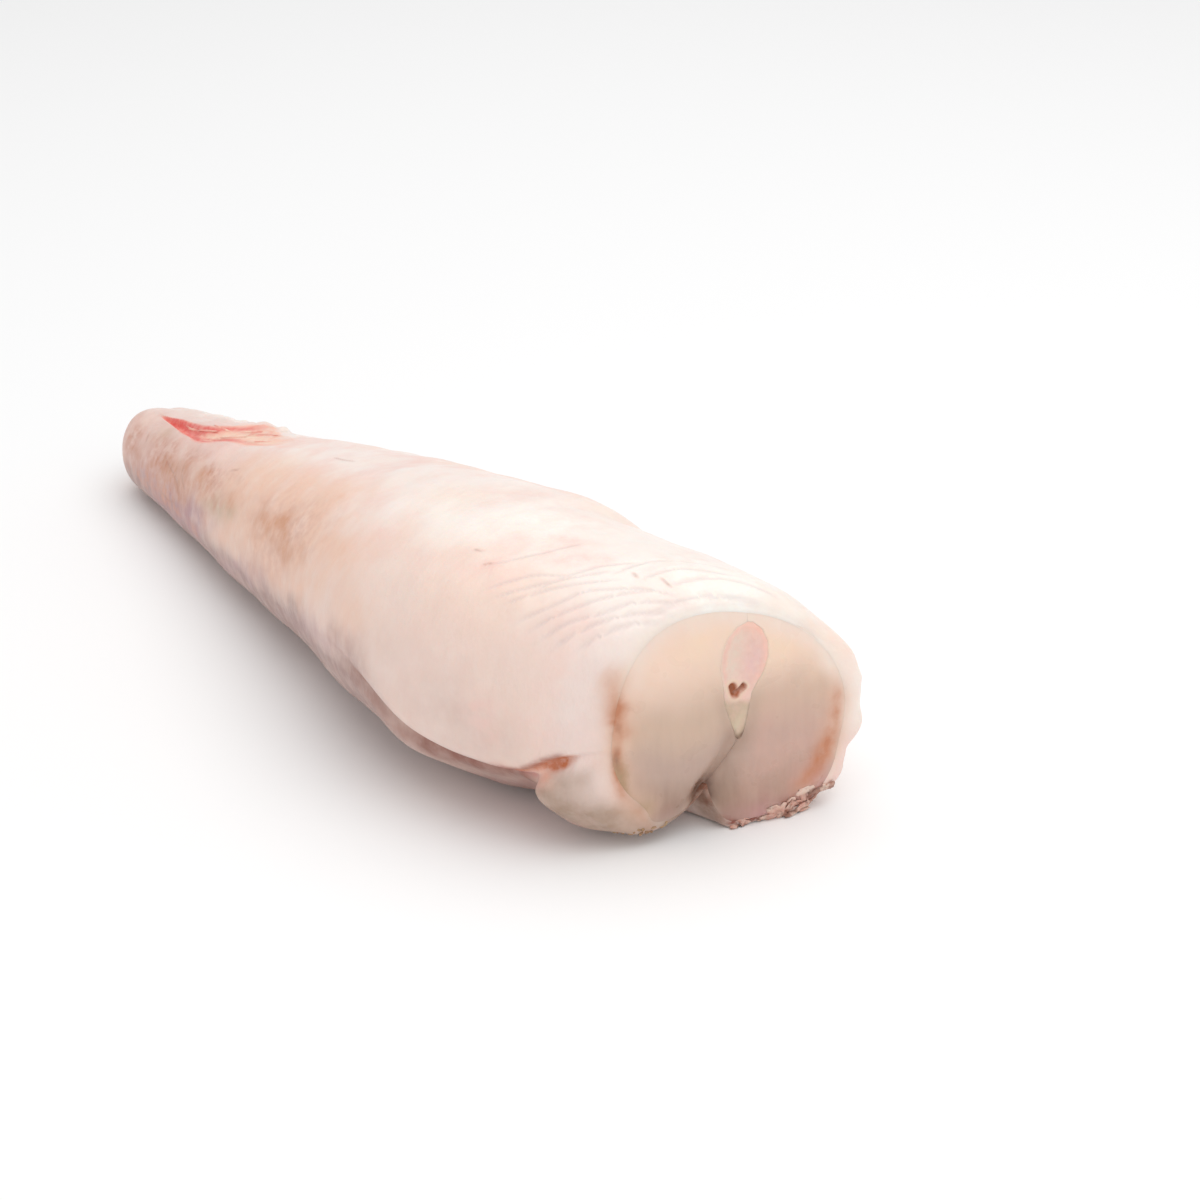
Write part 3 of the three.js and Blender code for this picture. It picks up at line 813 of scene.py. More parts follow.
@dataclass(frozen=True)
class FleshFinish:
    """The loins' cut face: smooth translucent flesh, cream at the top and greyer and browner below, partly
    its own tones and partly painted shade, with painted shade in the valley, the notch and other recesses.
    """

    # The colours up the face by height, and the heights they span: partly the flesh's own tones, partly
    # painted shade that darkens it towards the bottom.
    foot: Colour = (148, 119, 100)
    low: Colour = (190, 163, 150)
    middle: Colour = (207, 179, 159)
    high: Colour = (246, 216, 198)
    fibre: Colour = (236, 206, 186)
    lowest: float = 0.002
    highest: float = 0.066
    moist: Moisture = Moisture(0.45, 0.2, 0.18, 0.25, (1.0, 0.5, 0.35), 0.002)
    layers: tuple[Layer, ...] = (
        Layer("warm", (248, 219, 190), 0.55, 0.2, 80),
        Layer("rosy", (216, 172, 158), 0.45, 0.2, 100),
        Layer("edge", (244, 222, 208), 0.95, 0.1, 160),
        # Painted shade in the valley between the loins and round the bone's foot.
        Layer("valley", (168, 138, 122), 0.85, 0.15, 160),
        Layer("shaded", (160, 124, 112), 0.8, 0.15, 120),
        Layer("mauve", (200, 146, 148), 0.75, 0.3, 200),
        Layer("halo", (226, 184, 158), 0.65, 0.2, 100),
        Layer("stain", (194, 124, 88), 0.85, 0.35, 160),
        Layer("olive", (170, 142, 108), 0.85, 0.3, 240),
        # Painted shade in recesses of the cut face.
        Layer("deep", (128, 84, 62), 0.9, 0.35, 420),
        Layer("gore", (150, 90, 76), 0.9, 0.5, 420),
        # Painted shade in the notch between the lobes and along the seam below the bone.
        Layer("notch", (112, 78, 62), 0.95, 0.2, 300),
    )

    def material(self) -> bpy.types.Material:
        """Builds the material."""
        tree = ShaderTree("raw_flesh")
        # Painted shade by height: the colour darkens towards the bottom of the face.
        level = tree.add("ShaderNodeSeparateXYZ", Vector=tree.coords).outputs["Z"]
        share = tree.between(tree.math("ADD", level, tree.relief(0.012, 45, 2)), self.lowest, self.highest)
        colour = tree.ramp(share, ((0.0, self.foot), (0.3, self.low), (0.6, self.middle), (1.0, self.high)))
        for layer in self.layers:
            colour = layer.over(tree, colour)
        fibres = tree.between(tree.noise(120, 4, (2.6, 1, 0.5)), 0.3, 0.7)
        colour = tree.over(colour, fibres, 0.12, self.fibre)
        height = tree.math("ADD", tree.relief(0.05, 700, 3), tree.relief(0.18, 140, 2))
        roughness = tree.between(tree.noise(120, 2), 0.3, 0.7, 0.26, 0.38)
        return tree.finish(colour, height, self.moist, roughness)


@dataclass(frozen=True)
class BoneFinish:
    """The backbone's cut: pinkish cartilage with a rosier ring, a brown canal and a pale wedge below, and
    painted shade deep in the canal, at the wedge's tip and along its right edge.
    """

    cartilage: Colour = (234, 194, 180)
    mottled: Colour = (240, 202, 188)
    moist: Moisture = Moisture(0.45, 0.18, 0.2, 0.2, (1.0, 0.45, 0.35), 0.0018)
    layers: tuple[Layer, ...] = (
        Layer("ashen", (232, 208, 192), 0.85, 0.3, 500),
        Layer("lilac", (232, 194, 190), 0.6, 0.4, 500),
        Layer("ring", (250, 198, 180), 0.62, 0.4, 380),
        Layer("fade", (240, 212, 194), 0.8, 0.2, 300),
        Layer("ivory", (202, 176, 152), 0.9, 0.25, 300),
        Layer("glassy", (214, 194, 168), 0.8, 0.2, 260),
        Layer("halo", (235, 208, 184), 0.8, 0.2, 300),
        Layer("canal", (172, 98, 60), 0.95, 0.3, 500),
        # Painted shade deep in the canal, at the wedge's tip and along its right edge.
        Layer("deep", (104, 70, 52), 0.95, 0.2, 400),
    )

    def material(self) -> bpy.types.Material:
        """Builds the material."""
        tree = ShaderTree("moist_cartilage")
        mottle = tree.between(tree.noise(420, 4), 0.32, 0.68)
        colour = tree.blend(mottle, tint(self.cartilage), tint(self.mottled))
        for layer in self.layers:
            colour = layer.over(tree, colour)
        roughness = tree.between(tree.noise(200, 2), 0.3, 0.7, 0.3, 0.42)
        return tree.finish(colour, tree.relief(0.16, 800, 4), self.moist, roughness)


# ------------------------------------------------------------------ shreds, crumbs and fibres


@dataclass(frozen=True)
class ShredFinish:
    """Torn flesh: two colours and a dark one in noise, under the same moist film."""

    name: str
    light: Colour
    warm: Colour
    dark: Colour
    dark_share: float
    roughness: float = 0.36
    moist: Moisture = Moisture(0.35, 0.12, 0.25, 0.12, (1.0, 0.45, 0.32), 0.0005)

    def material(self) -> bpy.types.Material:
        """Builds the material."""
        tree = ShaderTree(self.name)
        colour = tree.blend(tree.between(tree.noise(240, 3), 0.35, 0.65), tint(self.light), tint(self.warm))
        dark = tree.between(tree.noise(170, 3, shift=0.2), 0.5, 0.62, 0.0, self.dark_share)
        colour = tree.blend(dark, colour, tint(self.dark))
        return tree.finish(colour, tree.relief(0.12, 1100, 3), self.moist, self.roughness)


@dataclass(frozen=True)
class Strewn:
    """Small soft lumps that a Geometry Nodes tree strews over a patch of skin.

    Attributes:
        name: The piece's name.
        density: Lumps in a square millimetre.
        half_size: Half a lump's size along, across and off the skin, in millimetres.
        scale: The smallest and the largest factor on that size.
        turn: How far a lump is turned on the skin at random, in degrees.
        ragged: How far its surface is pushed about by noise, in millimetres.
        seed: The seed of all that is random.
    """

    name: str
    density: float
    half_size: Triple
    scale: tuple[float, float]
    turn: float
    ragged: float
    seed: int

    def patch(self, skin: Surface, where: Array, lengthwise: bool) -> bpy.types.Object:
        """Makes the patch of skin to strew over.

        Args:
            skin: The skin as rings of points.
            where: Which of its points belong to the patch.
            lengthwise: Whether lumps lie along the body, or else round it.

        Returns:
            An object with the patch's faces and the direction of the lumps as an attribute.
        """
        step = np.roll(skin.points, -1, 0 if lengthwise else 1) - skin.points
        beside = np.roll(where, -1, 1)
        rows, columns = np.nonzero(where[:-1] & where[1:] & beside[:-1] & beside[1:])
        index = np.arange(where.size).reshape(where.shape)
        after = (columns + 1) % where.shape[1]
        quads = (index[rows, columns], index[rows, after], index[rows + 1, after], index[rows + 1, columns])
        used, corners = np.unique(np.stack(quads, 1), return_inverse=True)
        points = (skin.points.reshape(-1, 3)[used] + ORIGIN) * MM
        mesh = bpy.data.meshes.new(self.name + "_patch")
        mesh.from_pydata(points.tolist(), [], corners.reshape(-1, 4)[:, ::-1].tolist())
        attribute = mesh.attributes.new("along", "FLOAT_VECTOR", "POINT")
        attribute.data.foreach_set("vector", step.reshape(-1, 3)[used].astype(np.float32).ravel())
        mesh.update()
        return linked(bpy.data.objects.new(self.name + "_patch", mesh))

    def over(self, patch: bpy.types.Object, material: bpy.types.Material) -> bpy.types.Object:
        inputs = {
            "Density": ("Float", self.density / MM**2),
            "Half Size": ("Vector", [v * MM for v in self.half_size]),
            "Smallest": ("Float", self.scale[0]),
            "Largest": ("Float", self.scale[1]),
            "Turn": ("Float", math.radians(self.turn)),
            "Raggedness": ("Float", self.ragged * MM),
            "Seed": ("Int", self.seed),
            "Finish": ("Material", material),
        }
        modifier = patch.modifiers.new("strewn", "NODES")
        modifier.node_group, sockets = strewing_tree({key: kind for key, (kind, _) in inputs.items()})
        for key, (_, value) in inputs.items():
            modifier[sockets[key]] = value
        bpy.context.view_layer.update()
        mesh = bpy.data.meshes.new_from_object(patch.evaluated_get(bpy.context.evaluated_depsgraph_get()))
        bpy.data.objects.remove(patch)
        mesh.name = self.name
        places = np.empty(3 * len(mesh.vertices), np.float32)
        mesh.vertices.foreach_get("co", places)
        places[2::3] = np.maximum(places[2::3], 0.0)
        mesh.vertices.foreach_set("co", places)
        mesh.update()
        return ridden(linked(bpy.data.objects.new(self.name, mesh)), "flesh")


def strewing_tree(kinds: dict[str, str]) -> tuple[bpy.types.NodeTree, dict[str, str]]:
    """Builds the Geometry Nodes tree that strews lumps over a patch.

    Args:
        kinds: The kinds of its inputs, by name.

    Returns:
        The tree, and the identifiers of its named inputs.
    """
    group = bpy.data.node_groups.new("strewn_lumps", "GeometryNodeTree")
    face = group.interface
    face.new_socket("Geometry", in_out="OUTPUT", socket_type="NodeSocketGeometry")
    sockets = {
        key: face.new_socket(key, in_out="INPUT", socket_type="NodeSocket" + kind).identifier
        for key, kind in {"Geometry": "Geometry", **kinds}.items()
    }
    given = group.nodes.new("NodeGroupInput").outputs

    def node(kind: str, links: dict[Any, Any], output: Any = 0, **settings: Any) -> Any:
        """Adds a node, sets it, links or sets its inputs, and gives back one of its outputs.

        Args:
            kind: The node's type.
            links: Its inputs by name or number. A socket is linked and anything else is set.
            output: The output's name or number, or None for all of them.
            **settings: The node's own properties.

        Returns:
            The output.
        """
        made = group.nodes.new(kind)
        for key, value in settings.items():
            setattr(made, key, value)
        for key, value in links.items():
            if isinstance(value, bpy.types.NodeSocket):
                group.links.new(value, made.inputs[key])
            else:
                made.inputs[key].default_value = value
        return made.outputs if output is None else made.outputs[output]

    on_patch = {"Mesh": given["Geometry"], "Density": given["Density"], "Seed": given["Seed"]}
    spots = node("GeometryNodeDistributePointsOnFaces", on_patch, None)
    along = node("GeometryNodeInputNamedAttribute", {"Name": "along"}, "Attribute", data_type="FLOAT_VECTOR")
    lying = {"Rotation": spots["Rotation"], "Vector": along}
    laid = node("FunctionNodeAlignRotationToVector", lying, axis="X", pivot_axis="Z")
    back = node("ShaderNodeMath", {0: given["Turn"], 1: -1.0}, operation="MULTIPLY")
    span = {2: back, 3: given["Turn"], 8: given["Seed"]}
    angle = node("FunctionNodeRandomValue", span, 1, data_type="FLOAT")
    spin = node("FunctionNodeAxisAngleToRotation", {"Axis": (0, 0, 1), "Angle": angle})
    turned = node("FunctionNodeRotateRotation", {"Rotation": laid, "Rotate By": spin}, rotation_space="LOCAL")
    other = node("ShaderNodeMath", {0: given["Seed"], 1: 17.0}, operation="ADD")
    span = {2: given["Smallest"], 3: given["Largest"], 8: other}
    factor = node("FunctionNodeRandomValue", span, 1, data_type="FLOAT")
    size = node("ShaderNodeVectorMath", {0: given["Half Size"], "Scale": factor}, operation="SCALE")
    lump = node("GeometryNodeMeshUVSphere", {"Segments": 8, "Rings": 6, "Radius": 1.0}, "Mesh")
    lumps = {"Points": spots["Points"], "Instance": lump, "Rotation": turned, "Scale": size}
    real = node("GeometryNodeRealizeInstances", {"Geometry": node("GeometryNodeInstanceOnPoints", lumps)})
    noise = node("ShaderNodeTexNoise", {"Scale": 620.0, "Detail": 2.0}, "Color")
    push = node("ShaderNodeVectorMath", {0: noise, 1: (0.5, 0.5, 0.5)}, operation="SUBTRACT")
    pushed = node("ShaderNodeVectorMath", {0: push, "Scale": given["Raggedness"]}, operation="SCALE")
    moved = node("GeometryNodeSetPosition", {"Geometry": real, "Offset": pushed})
    soft = node("GeometryNodeSetShadeSmooth", {"Geometry": moved})
    done = node("GeometryNodeSetMaterial", {"Geometry": soft, "Material": given["Finish"]})
    node("NodeGroupOutput", {0: done}, None)
    return group, sockets


@dataclass
class TornEdges:
    """The ragged lower right edge, the crumbs under the left lobe, and the slit's fibres."""

    tail: TailForm = TAIL

    def build(self, skin: Surface, face: Surface) -> None:
        """Args:
            skin: The outer layer's points.
            face: The points of the right loin's cut face.
        """
        s, deg = skin.s, skin.degrees
        rags = ShredFinish("torn_flesh", (234, 206, 190), (218, 168, 152), (140, 84, 66), 0.75).material()
        ochre = ShredFinish("ochre_crumbs", (184, 152, 118), (162, 124, 94), (120, 84, 62), 0.5).material()
        coral = ShredFinish("slit_fibres", (252, 206, 184), (248, 176, 160), (240, 142, 130), 0.7).material()
        reach = np.hypot(face.l, face.m) / self.tail.inner_radius(0, face.degrees)
        across = self.tail.in_slit(s, deg)
        rim = (s > -8) & (s < 2.5) & (deg > 116) & (deg < 160)
        torn = (reach > 0.86) & (reach < 1.0) & (face.degrees > 120) & (face.degrees < 158)
        foot = (s > -2.5) & (s < 4) & (deg < -150) & (deg > -166)
        slit = (s > 222) & (s < 276) & (across > 0.25) & (across < 0.92)
        flakes = Strewn("torn_rim", 0.2, (3.4, 1.7, 0.6), (0.4, 1.15), 60, 3.2, 3)
        flakes.over(flakes.patch(skin, rim, False), rags)
        flakes = Strewn("torn_flesh", 0.13, (3.2, 1.5, 0.5), (0.4, 1.15), 60, 3.0, 4)
        flakes.over(flakes.patch(face, torn, True), rags)
        crumbs = Strewn("crumbs", 0.45, (0.7, 0.5, 0.3), (0.5, 1.3), 90, 0.8, 8)
        crumbs.over(crumbs.patch(skin, foot, False), ochre)
        fibres = Strewn("slit_fibres", 0.03, (7.0, 0.45, 0.14), (0.6, 1.2), 7, 0.35, 5)
        fibres.over(fibres.patch(skin, slit, True), coral)


# ------------------------------------------------------------------ the outer layer

LEFT_STAIN: tuple[Place, ...] = (
    (-37, 10), (-35.6, 5), (-34, 0), (-32.3, -6), (-31.8, -12), (-29.6, -17), (-26, -23), (-20.5, -28.5),
)
RIGHT_STAIN: tuple[Place, ...] = ((32.8, 9), (33.6, 2), (33.6, -5), (32.2, -11), (29.4, -16.5))
CREASES: tuple[tuple[Place, ...], ...] = (
    ((5, -65), (3.5, -58), (1.5, -50)),
    ((13.5, -66), (11, -59), (8, -53), (6, -44), (3, -36)),
    ((22, -63), (19, -56), (17, -48), (12, -41), (6, -33)),
    ((29, -59), (23.5, -50), (18, -41)),
    ((38.5, -57), (34, -50), (29, -46)),
    ((1.5, -40), (2, -26), (1.5, -13), (0.8, 1)),
    ((7, -23), (8, -8), (6.5, 4), (4.5, 12)),
    ((27, -50), (25, -36), (22, -27)),
    ((46, -47), (42, -38), (41, -28)),
    ((12, -28), (13, -16), (11, -2)),
    ((9.5, -67), (7, -58), (4, -49), (2, -43)),
    ((17.5, -64), (14.5, -56), (11, -46), (8, -38)),
    ((33, -58), (27, -49), (22, -38)),
    ((19, -30), (20, -16), (17, 0)),
)
TICKS: tuple[tuple[Place, ...], ...] = (
    ((285, -62), (286, -57)),
    ((218, -53), (214, -51)),
    ((263, -70), (256, -75), (251, -80), (249, -86)),
    ((250, -66), (248, -74), (244, -80)),
    ((262, -98), (256, -99), (252, -97)),
    ((9, -27), (7, -27.5)),
    ((15, -31), (13.5, -32)),
    ((174, -20), (169, -20), (164, -19)),
    ((60, -47.5), (57.5, -47)),
    ((50, -51.5), (48.5, -50.5)),
)

# Where the surface stands out of the plain outline: for each place how far in millimetres, where along the
# body and over what half length, and at what angle and over what half angle.
SWELLS: dict[str, tuple[Spot, ...]] = {
    "flap": ((1.6, 8, 8, -146, 8), (0.9, 11, 6, -127, 5)),
    "shoulder": ((1.7, 2, 13, 65, 12), (-1.4, 4, 12, 38, 14), (-0.5, 0, 10, 78, 5), (0.8, 37, 14, 30, 12)),
    "tuck": ((1.4, 0, 10, 88, 5), (-2.2, 0, 12, 101, 7), (-1.4, 0, 12, 125, 13)),
    "corner": ((1.2, 304, 9, -40, 22), (-1.3, 302, 12, -104, 30), (-1.1, 302, 9, 6, 14)),
    "hem": (
        (1.8, 65, 14, -124, 12), (-1.2, 135, 26, -115, 14), (-2.4, 33, 11, -150, 16),
        (1.2, 204, 14, -120, 16),
    ),
    "hollow": ((-2.6, 68, 7, 38, 16), (-1.0, 102, 10, 24, 16)),
    "spike": ((1.5, 238, 1.6, 21, 7), (0.7, 247, 3, 18, 9)),
}

# The soft marks on the skin, for each layer of the finish.
SKIN_MARKS: dict[str, tuple[Spot, ...]] = {
    # Painted shade along the lower left side near the cut.
    "low": ((0.22, 28, -104, 22, 10),),
    # Partly painted shade along the lower left edge, partly the skin's own mauve blotches.
    "mauve": (
        (0.7, 257, -98, 15, 5), (0.6, 232, -90, 8, 5), (0.3, 255, -84, 20, 9), (0.5, 190, -104, 30, 5),
        (0.4, 120, -100, 30, 5), (0.8, 238, -101, 22, 6), (0.5, 276, -92, 14, 6),
    ),
    "blush": (
        (1, 55, -36, 7, 4), (1, 47, -23, 7, 4), (0.8, 35, -37, 7, 4), (0.8, 30, -30, 6, 4),
        (0.5, 45, -52, 12, 5), (0.5, 9, -24, 3, 5), (0.5, 93, 34, 14, 9), (0.45, 24, -100, 5, 7),
        (0.35, 8, -101, 6, 5),
    ),
    "peach": ((0.2, 49, -67, 20, 10), (0.6, 118, -74, 22, 12), (0.6, 92, -88, 16, 8)),
    "mottle": ((0.5, 160, -70, 26, 12),),
    "olive": ((1, 206, -77, 9, 4), (0.8, 219, -76, 8, 4), (0.5, 276, -48, 6, 3)),
    "tan": (
        (0.8, 178, -71, 9, 4.5, 20), (0.9, 162, -73, 11, 4.6, 25), (0.7, 162, -63, 6, 4),
        (0.7, 147, -76, 8, 4, 20), (0.7, 207, -70, 7, 5), (0.6, 255, -73, 16, 7), (0.6, 232, -72, 12, 6),
        (0.35, 120, 70, 14, 8), (0.45, 168, 84, 16, 6, 15), (0.4, 222, 74, 14, 6, -10),
    ),
    "bruise": (
        (0.8, 262, -71, 7, 3.4, 30), (0.8, 251, -79, 8, 3, 40), (0.6, 244, -88, 6, 2.6),
        (0.5, 247, -68, 5, 3), (0.4, 150, 100, 10, 5), (0.5, 288, -80, 7, 5),
    ),
    "rose": ((1, 17, -121, 6, 2.6), (0.6, 26, -123, 7, 2.4), (0.6, 15, -133, 3, 6), (0.4, 11, -144, 3, 6)),
    "pale": (
        (1, 270, 14, 16, 3.5), (0.8, 245, 22, 10, 3), (0.6, 80, -38, 30, 9), (0.8, 10, 0, 16, 44),
        (0.7, 52, 2, 38, 26), (0.7, 62, -19, 14, 9), (0.6, 1, -14, 7, 12),
    ),
    "salmon": ((0.6, 10, -118, 5, 2.4),),
}

# On the bed of the loins a point's s, as the marks read it, lies below this.
BED = -20.0


@dataclass
class OuterMembrane:
    """The tail's whole outside with its thick rim round the cut, and the bed of the loins behind it.

    Attributes:
        columns: Points round the body.
        crease_angle: The angle whose column runs along the crease.
        slit_angle: The angle whose column runs along the slit.
        near_step: The distance between rings near the cut, in millimetres.
        far_step: The distance further on.
        rim_turns: Rings over the rim, from the skin to the loins.
        thinnest: The least thickness over the loins, in millimetres.
        bed_rows: Where the rings of the bed lie along the body.
        tail: The tail's form.
    """

    columns: int = 276
    crease_angle: float = -116
    slit_angle: float = -24
    near_step: float = 0.72
    far_step: float = 1.25
    rim_turns: int = 13
    thinnest: float = 0.7
    bed_rows: tuple[float, ...] = (1.5, 4, 10, 25, 60, 110, 160, 200, 230, 250, 262, 270, 274)
    tail: TailForm = TAIL

    def angles(self) -> Array:
        """Angles round the section, closer together where the camera looks and at the crease."""
        at = np.linspace(-180, 180, 1441)
        density = 1 + 0.55 * plateau(at, -150, -125, 40, 80) + 1.2 * bell(at, self.crease_angle, 9)
        density += 0.9 * bell(at, -30, 14) + 0.5 * bell(np.abs(at), 180, 12)
        sums = np.concatenate([[0], np.cumsum((density[1:] + density[:-1]) / 2)])
        wanted = sums[-1] * np.arange(self.columns) / self.columns
        return np.interp(wanted, sums, at)

    def columns_at(self, angles: Array, s: Array) -> Array:
        """The columns' angles at s: they run along with the crease and, further on, the slit."""
        crease = (self.tail.crease_line(s) - self.crease_angle) * fading(s, 110, 180)
        slit = (self.tail.slit_line(s) - self.slit_angle) * smooth(s, 150, 200)
        moved = angles + crease * bell(angles, self.crease_angle, 26)
        return moved + slit * bell(angles, self.slit_angle, 44)

    def rows(self) -> Array:
        """Places along the body, closest together at the cut."""
        rows = [0.0, 0.1, 0.3, 0.6]
        while rows[-1] < self.tail.length - 0.5:
            s = np.array(rows[-1])
            step = mix(self.near_step, self.far_step, smooth(s, 45, 110))
            step *= 1 - 0.25 * bell(s, 258, 34)
            rows.append(float(s + step * mix(1, 0.2, smooth(s, self.tail.length - 16, self.tail.length))))
        return np.array([s for s in rows if s < self.tail.length - 0.05])

    def dents(self, s: Array, degrees: Array) -> Array:
        """All that is sunk into the plain outline, in millimetres."""
        t = self.tail
        below = t.below_crease(s, degrees)
        fade = fading(s, 64, 118)
        ledge = plateau(below, -0.6, 0.9, 2.5, 8)
        crease = mix(1.5, 4.0, bell(s, 6.5, 7.5)) * fade * ledge + 0.8 * fade * bell(below, 0.3, 1.6)
        strip = 2.4 * plateau(below, 0, 3, 15, 32) * bell(s, 36, 18)
        cut_back = 3.4 * plateau(s, 11, 16, 26, 40) * plateau(below, 1, 5, 14, 26)
        right = 1.8 * fading(s, 48, 96) * bell(np.radians(degrees - 121) * t.plain_radius(s, degrees), 0, 3)
        notch = 3.0 * bell(degrees, 171, 6) * bell(s, 7, 9)
        return crease + strip + cut_back + right + notch + self.slit(s, degrees)

    def slit(self, s: Array, degrees: Array) -> Array:
        """The open slit: a steep wall under its lower edge, and a long slope up to the ridge."""
        return self.tail.slit_depth(s) * plateau(self.tail.in_slit(s, degrees), 0.0, 0.26, 0.4, 1.1)

    def swells(self, s: Array, degrees: Array) -> Array:
        """All that stands out of the plain outline, in millimetres."""
        below = self.tail.below_crease(s, degrees)
        flap = 2.6 * bell(s, 3, 11) * bell(below, 14, 11)
        flap_edge = 1.0 * plateau(s, 1, 6, 10, 13) * bell(below, 15, 9)
        over = 0.9 * bell(below, -4, 4) * fading(s, 70, 120)
        step = 1.7 * plateau(s, 70, 77, 84, 150) * bell(degrees, 30, 40)
        ridge = 0.9 * bell(degrees, 15, 13) * plateau(s, 228, 242, 284, 300)
        total = flap + flap_edge + over + step + ridge
        for places in SWELLS.values():
            for height, at, length, angle, width in places:
                total = total + height * bell(s, at, length) * bell(degrees, angle, width)
        return total

    def fine_relief(self, skin: Surface) -> Array:
        """Soft lumps, wrinkles and the ragged edge, in millimetres."""
        s, deg = skin.s, skin.degrees

        def grain(*noises: tuple[float, int, float]) -> Array:
            """The sum of noises, each given by its height, its seed and its size of grain."""
            return sum(height * Grain(seed, size)(skin.points) for height, seed, size in noises)

        wrinkled = clamped(skin.on_skin((1, 40, -35, 30, 26), (0.7, 85, -45, 16, 12)))
        wrinkles = 0.22 * Grain(13, 4.5)(skin.points * np.array([1.0, 0.55, 1.0])) * wrinkled
        bumps = grain((0.16, 14, 3.2)) * clamped(skin.on_skin((1, 42, -86, 9, 7), (1, 29, -85, 8, 6)))
        height = (grain((0.5, 11, 26), (0.16, 12, 9)) + wrinkles + bumps) * smooth(s, 1, 12)
        for line in CREASES:
            beside, drawn = skin.beside(line)
            height += drawn * (0.12 * bell(beside, -1.3, 0.9) - 0.3 * bell(beside, 0, 0.75))
        height += grain((0.9, 15, 3.0), (0.5, 16, 1.8)) * plateau(deg, 112, 124, 158, 170) * bell(s, 0, 6)
        height += grain((0.5, 18, 6), (0.25, 19, 2.6)) * plateau(deg, 55, 70, 112, 122) * bell(s, 0, 9)
        return height + grain((0.55, 17, 2.6), (0.3, 10, 5)) * skin.on_skin((1, 252, 14, 30, 5))

    def outer_radius(self, s: Array, degrees: Array) -> Array:
        """The skinned surface's distance from the section's middle, before the fine relief."""
        t = self.tail
        radius = t.plain_radius(s, degrees) + self.swells(s, degrees) - self.dents(s, degrees)
        return (radius - t.lip_drop(s, degrees)) * t.tip_share(s)

    def surface(self) -> tuple[Surface, Array]:
        """Works out all points: the outside from the tip to the cut, the rim and the bed.

        Returns:
            The surface as rings of points, and the bed's last pole.
        """
        t, angles = self.tail, self.angles()[None, :]
        s = self.rows()[::-1, None]
        degrees = self.columns_at(angles, s)
        s = np.broadcast_to(s, degrees.shape)
        radius = self.outer_radius(s, degrees)
        plain = Surface(s, degrees, radius, radius, t.round_place(s, degrees, radius))
        radius = radius + self.fine_relief(plain) * t.tip_share(s)
        least = np.where(s < t.loin_end, t.inner_radius(s, degrees) + self.thinnest, 0.0)
        radius = np.maximum(radius, least)
        blocks = [self.rings(s, degrees, radius, 0.0, s, 0.0)]
        zero = np.zeros((1, 1))
        edge, rim_degrees = radius[-1:], degrees[-1:]
        thick = edge - t.inner_radius(zero, rim_degrees)
        for turn in [*np.linspace(0, 0.97, self.rim_turns)[1:], 0.988, 1.0]:
            swell = t.edge_forward(rim_degrees) * math.sin(math.pi / 2 * turn)
            ring = edge - turn * thick
            blocks.append(self.rings(zero, rim_degrees, ring, swell, -turn * thick, turn * t.wall_on_floor))
        for row in self.bed_rows:
            bed_s = np.array([[float(row)]])
            bed_degrees = self.columns_at(angles, bed_s)
            bed = t.inner_radius(bed_s, bed_degrees)
            marked = np.full(bed.shape, BED - 10)
            blocks.append(self.rings(bed_s, bed_degrees, bed, 0.0, marked, t.wall_on_floor))
        return Surface.joined(blocks), t.place(t.loin_end, 0, 0)

    def rings(
        self, s: Array, degrees: Array, radius: Array, forward: Array, marked_s: Array, floor: float
    ) -> Surface:
        """One or more rings of the surface, with s as the marks are to read it."""
        angle = np.radians(degrees)
        l, m = radius * np.sin(angle), radius * np.cos(angle)
        points = self.tail.place(s, l, m, forward, floor)
        shape = points.shape[:-1]
        return Surface(np.broadcast_to(marked_s, shape), np.broadcast_to(degrees, shape), l, m, points)

